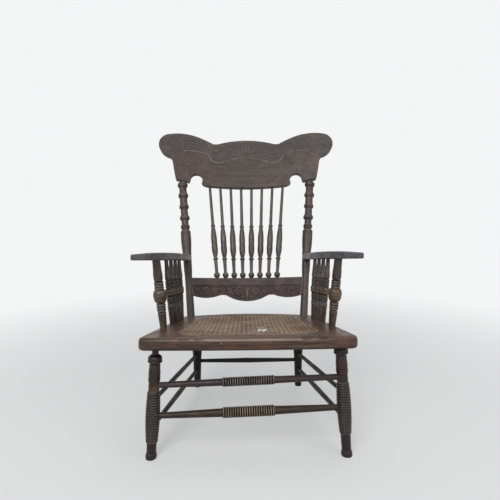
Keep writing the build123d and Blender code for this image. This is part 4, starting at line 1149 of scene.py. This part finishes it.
def pair_lift(place, side):
    """How far a strand of a pair is lifted at a place on its way; the two of a pair swing opposite ways."""
    return side * pair_wave * math.sin(2 * math.pi * place / cane_pitch)


def diagonal_lift(centre, way):
    """How far a diagonal strand is lifted at a place on its way."""
    return way * diagonal_wave * math.cos(2 * math.pi * centre[0] / cane_pitch)


def weave_seat():
    """Pairs of strands each way, and a diagonal each way between them."""
    across_count = math.ceil(cane_front_half / cane_pitch) + 1
    along_count = math.ceil((cane_rear_setback - cane_front_setback) / 2 / cane_pitch) + 3
    lengthwise, crosswise, rising, falling = [], [], [], []
    for number in range(-across_count, across_count + 1):
        for side in (-1, 1):
            start = (number * cane_pitch + side * pair_offset, cane_middle)
            lengthwise.append((
                start, (0, 1), lambda centre, side=side: pair_lift(centre[1] - cane_middle, side),
            ))
    for number in range(-along_count, along_count + 1):
        for side in (-1, 1):
            start = (0, cane_middle + number * cane_pitch + side * pair_offset)
            crosswise.append((start, (1, 0), lambda centre, side=side: pair_lift(centre[0], -side)))
    count = across_count + along_count
    for number in range(-count, count + 1):
        start = ((number + 0.5) * cane_pitch, cane_middle)
        rising.append((start, (1, 1), lambda centre: diagonal_lift(centre, -1)))
        falling.append((start, (1, -1), lambda centre: diagonal_lift(centre, 1)))
    cane = cane_material()
    first = weave("cane_lengthwise", lengthwise, pair_width, cane, lengthwise_shades)
    weave("cane_crosswise", crosswise, pair_width, cane, crosswise_shades)
    weave("cane_rising", rising, diagonal_width, cane, rising_shades)
    weave("cane_falling", falling, diagonal_width, cane, falling_shades)
    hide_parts("seat_cane")


def cane_material():
    """Aged cane: each strand its own shade, darker where it is soiled, with soiling and painted shade between
    the strands and at the rim, and a dull gloss.
    """
    material, tree, surface = new_material("old_cane")
    place = object_place(tree)
    turned_place = object_place(tree, turn=(0.4, 0, 1.9))
    fray_and_shadow_value = vertex_value(tree, "fray_and_shadow")
    colour = tint(tree, vertex_value(tree, "shade"), cane_dark, cane_pale)
    colour = tint(tree, patches_of(tree, place, 14, 0.42, 0.70, 0, 0.8), colour, cane_soil)
    colour = tint(tree, patches_of(tree, place, 260, 0.48, 0.7, 0, 0.5, detail=3), colour, cane_specks)
    red = patches_of(tree, turned_place, 9, 0.52, 0.66, 0, 0.6, detail=3, roughness=0.5)
    colour = tint(tree, red, colour, cane_red)
    # Soiling and painted shade: the cane is darker where ambient occlusion finds crossing strands and the rim
    grime_and_shade = stretch(tree, hollow_shade(tree, 4 * mm), 0.40, 0.98, 0.9, 0)
    colour = tint(tree, grime_and_shade, colour, cane_grime_and_shade)
    # Painted shadow on ends that hang into the tear, and pale fibres on the torn front ends
    colour = tint(tree, stretch(tree, fray_and_shadow_value, -0.9, -0.1, 1, 0), colour, cane_shadow)
    colour = tint(tree, stretch(tree, fray_and_shadow_value, 0.05, 0.6), colour, cane_frayed)
    gloss = patches_of(tree, place, 90, 0.3, 0.7, 0.32, 0.55, detail=2, roughness=0.5)
    set_inputs(tree, surface, {"Base Color": colour, "Roughness": gloss})
    add_bump(tree, surface, noise(tree, place, 900, 2, 0.6), 0.4, 0.15)
    return material


add_camera()
add_world()
add_floor()
for lamp in lamps:
    add_soft_light(*lamp)

finish_nodes()
add_carvings()
weave_seat()

scene = bpy.context.scene
scene.view_settings.view_transform = "Standard"
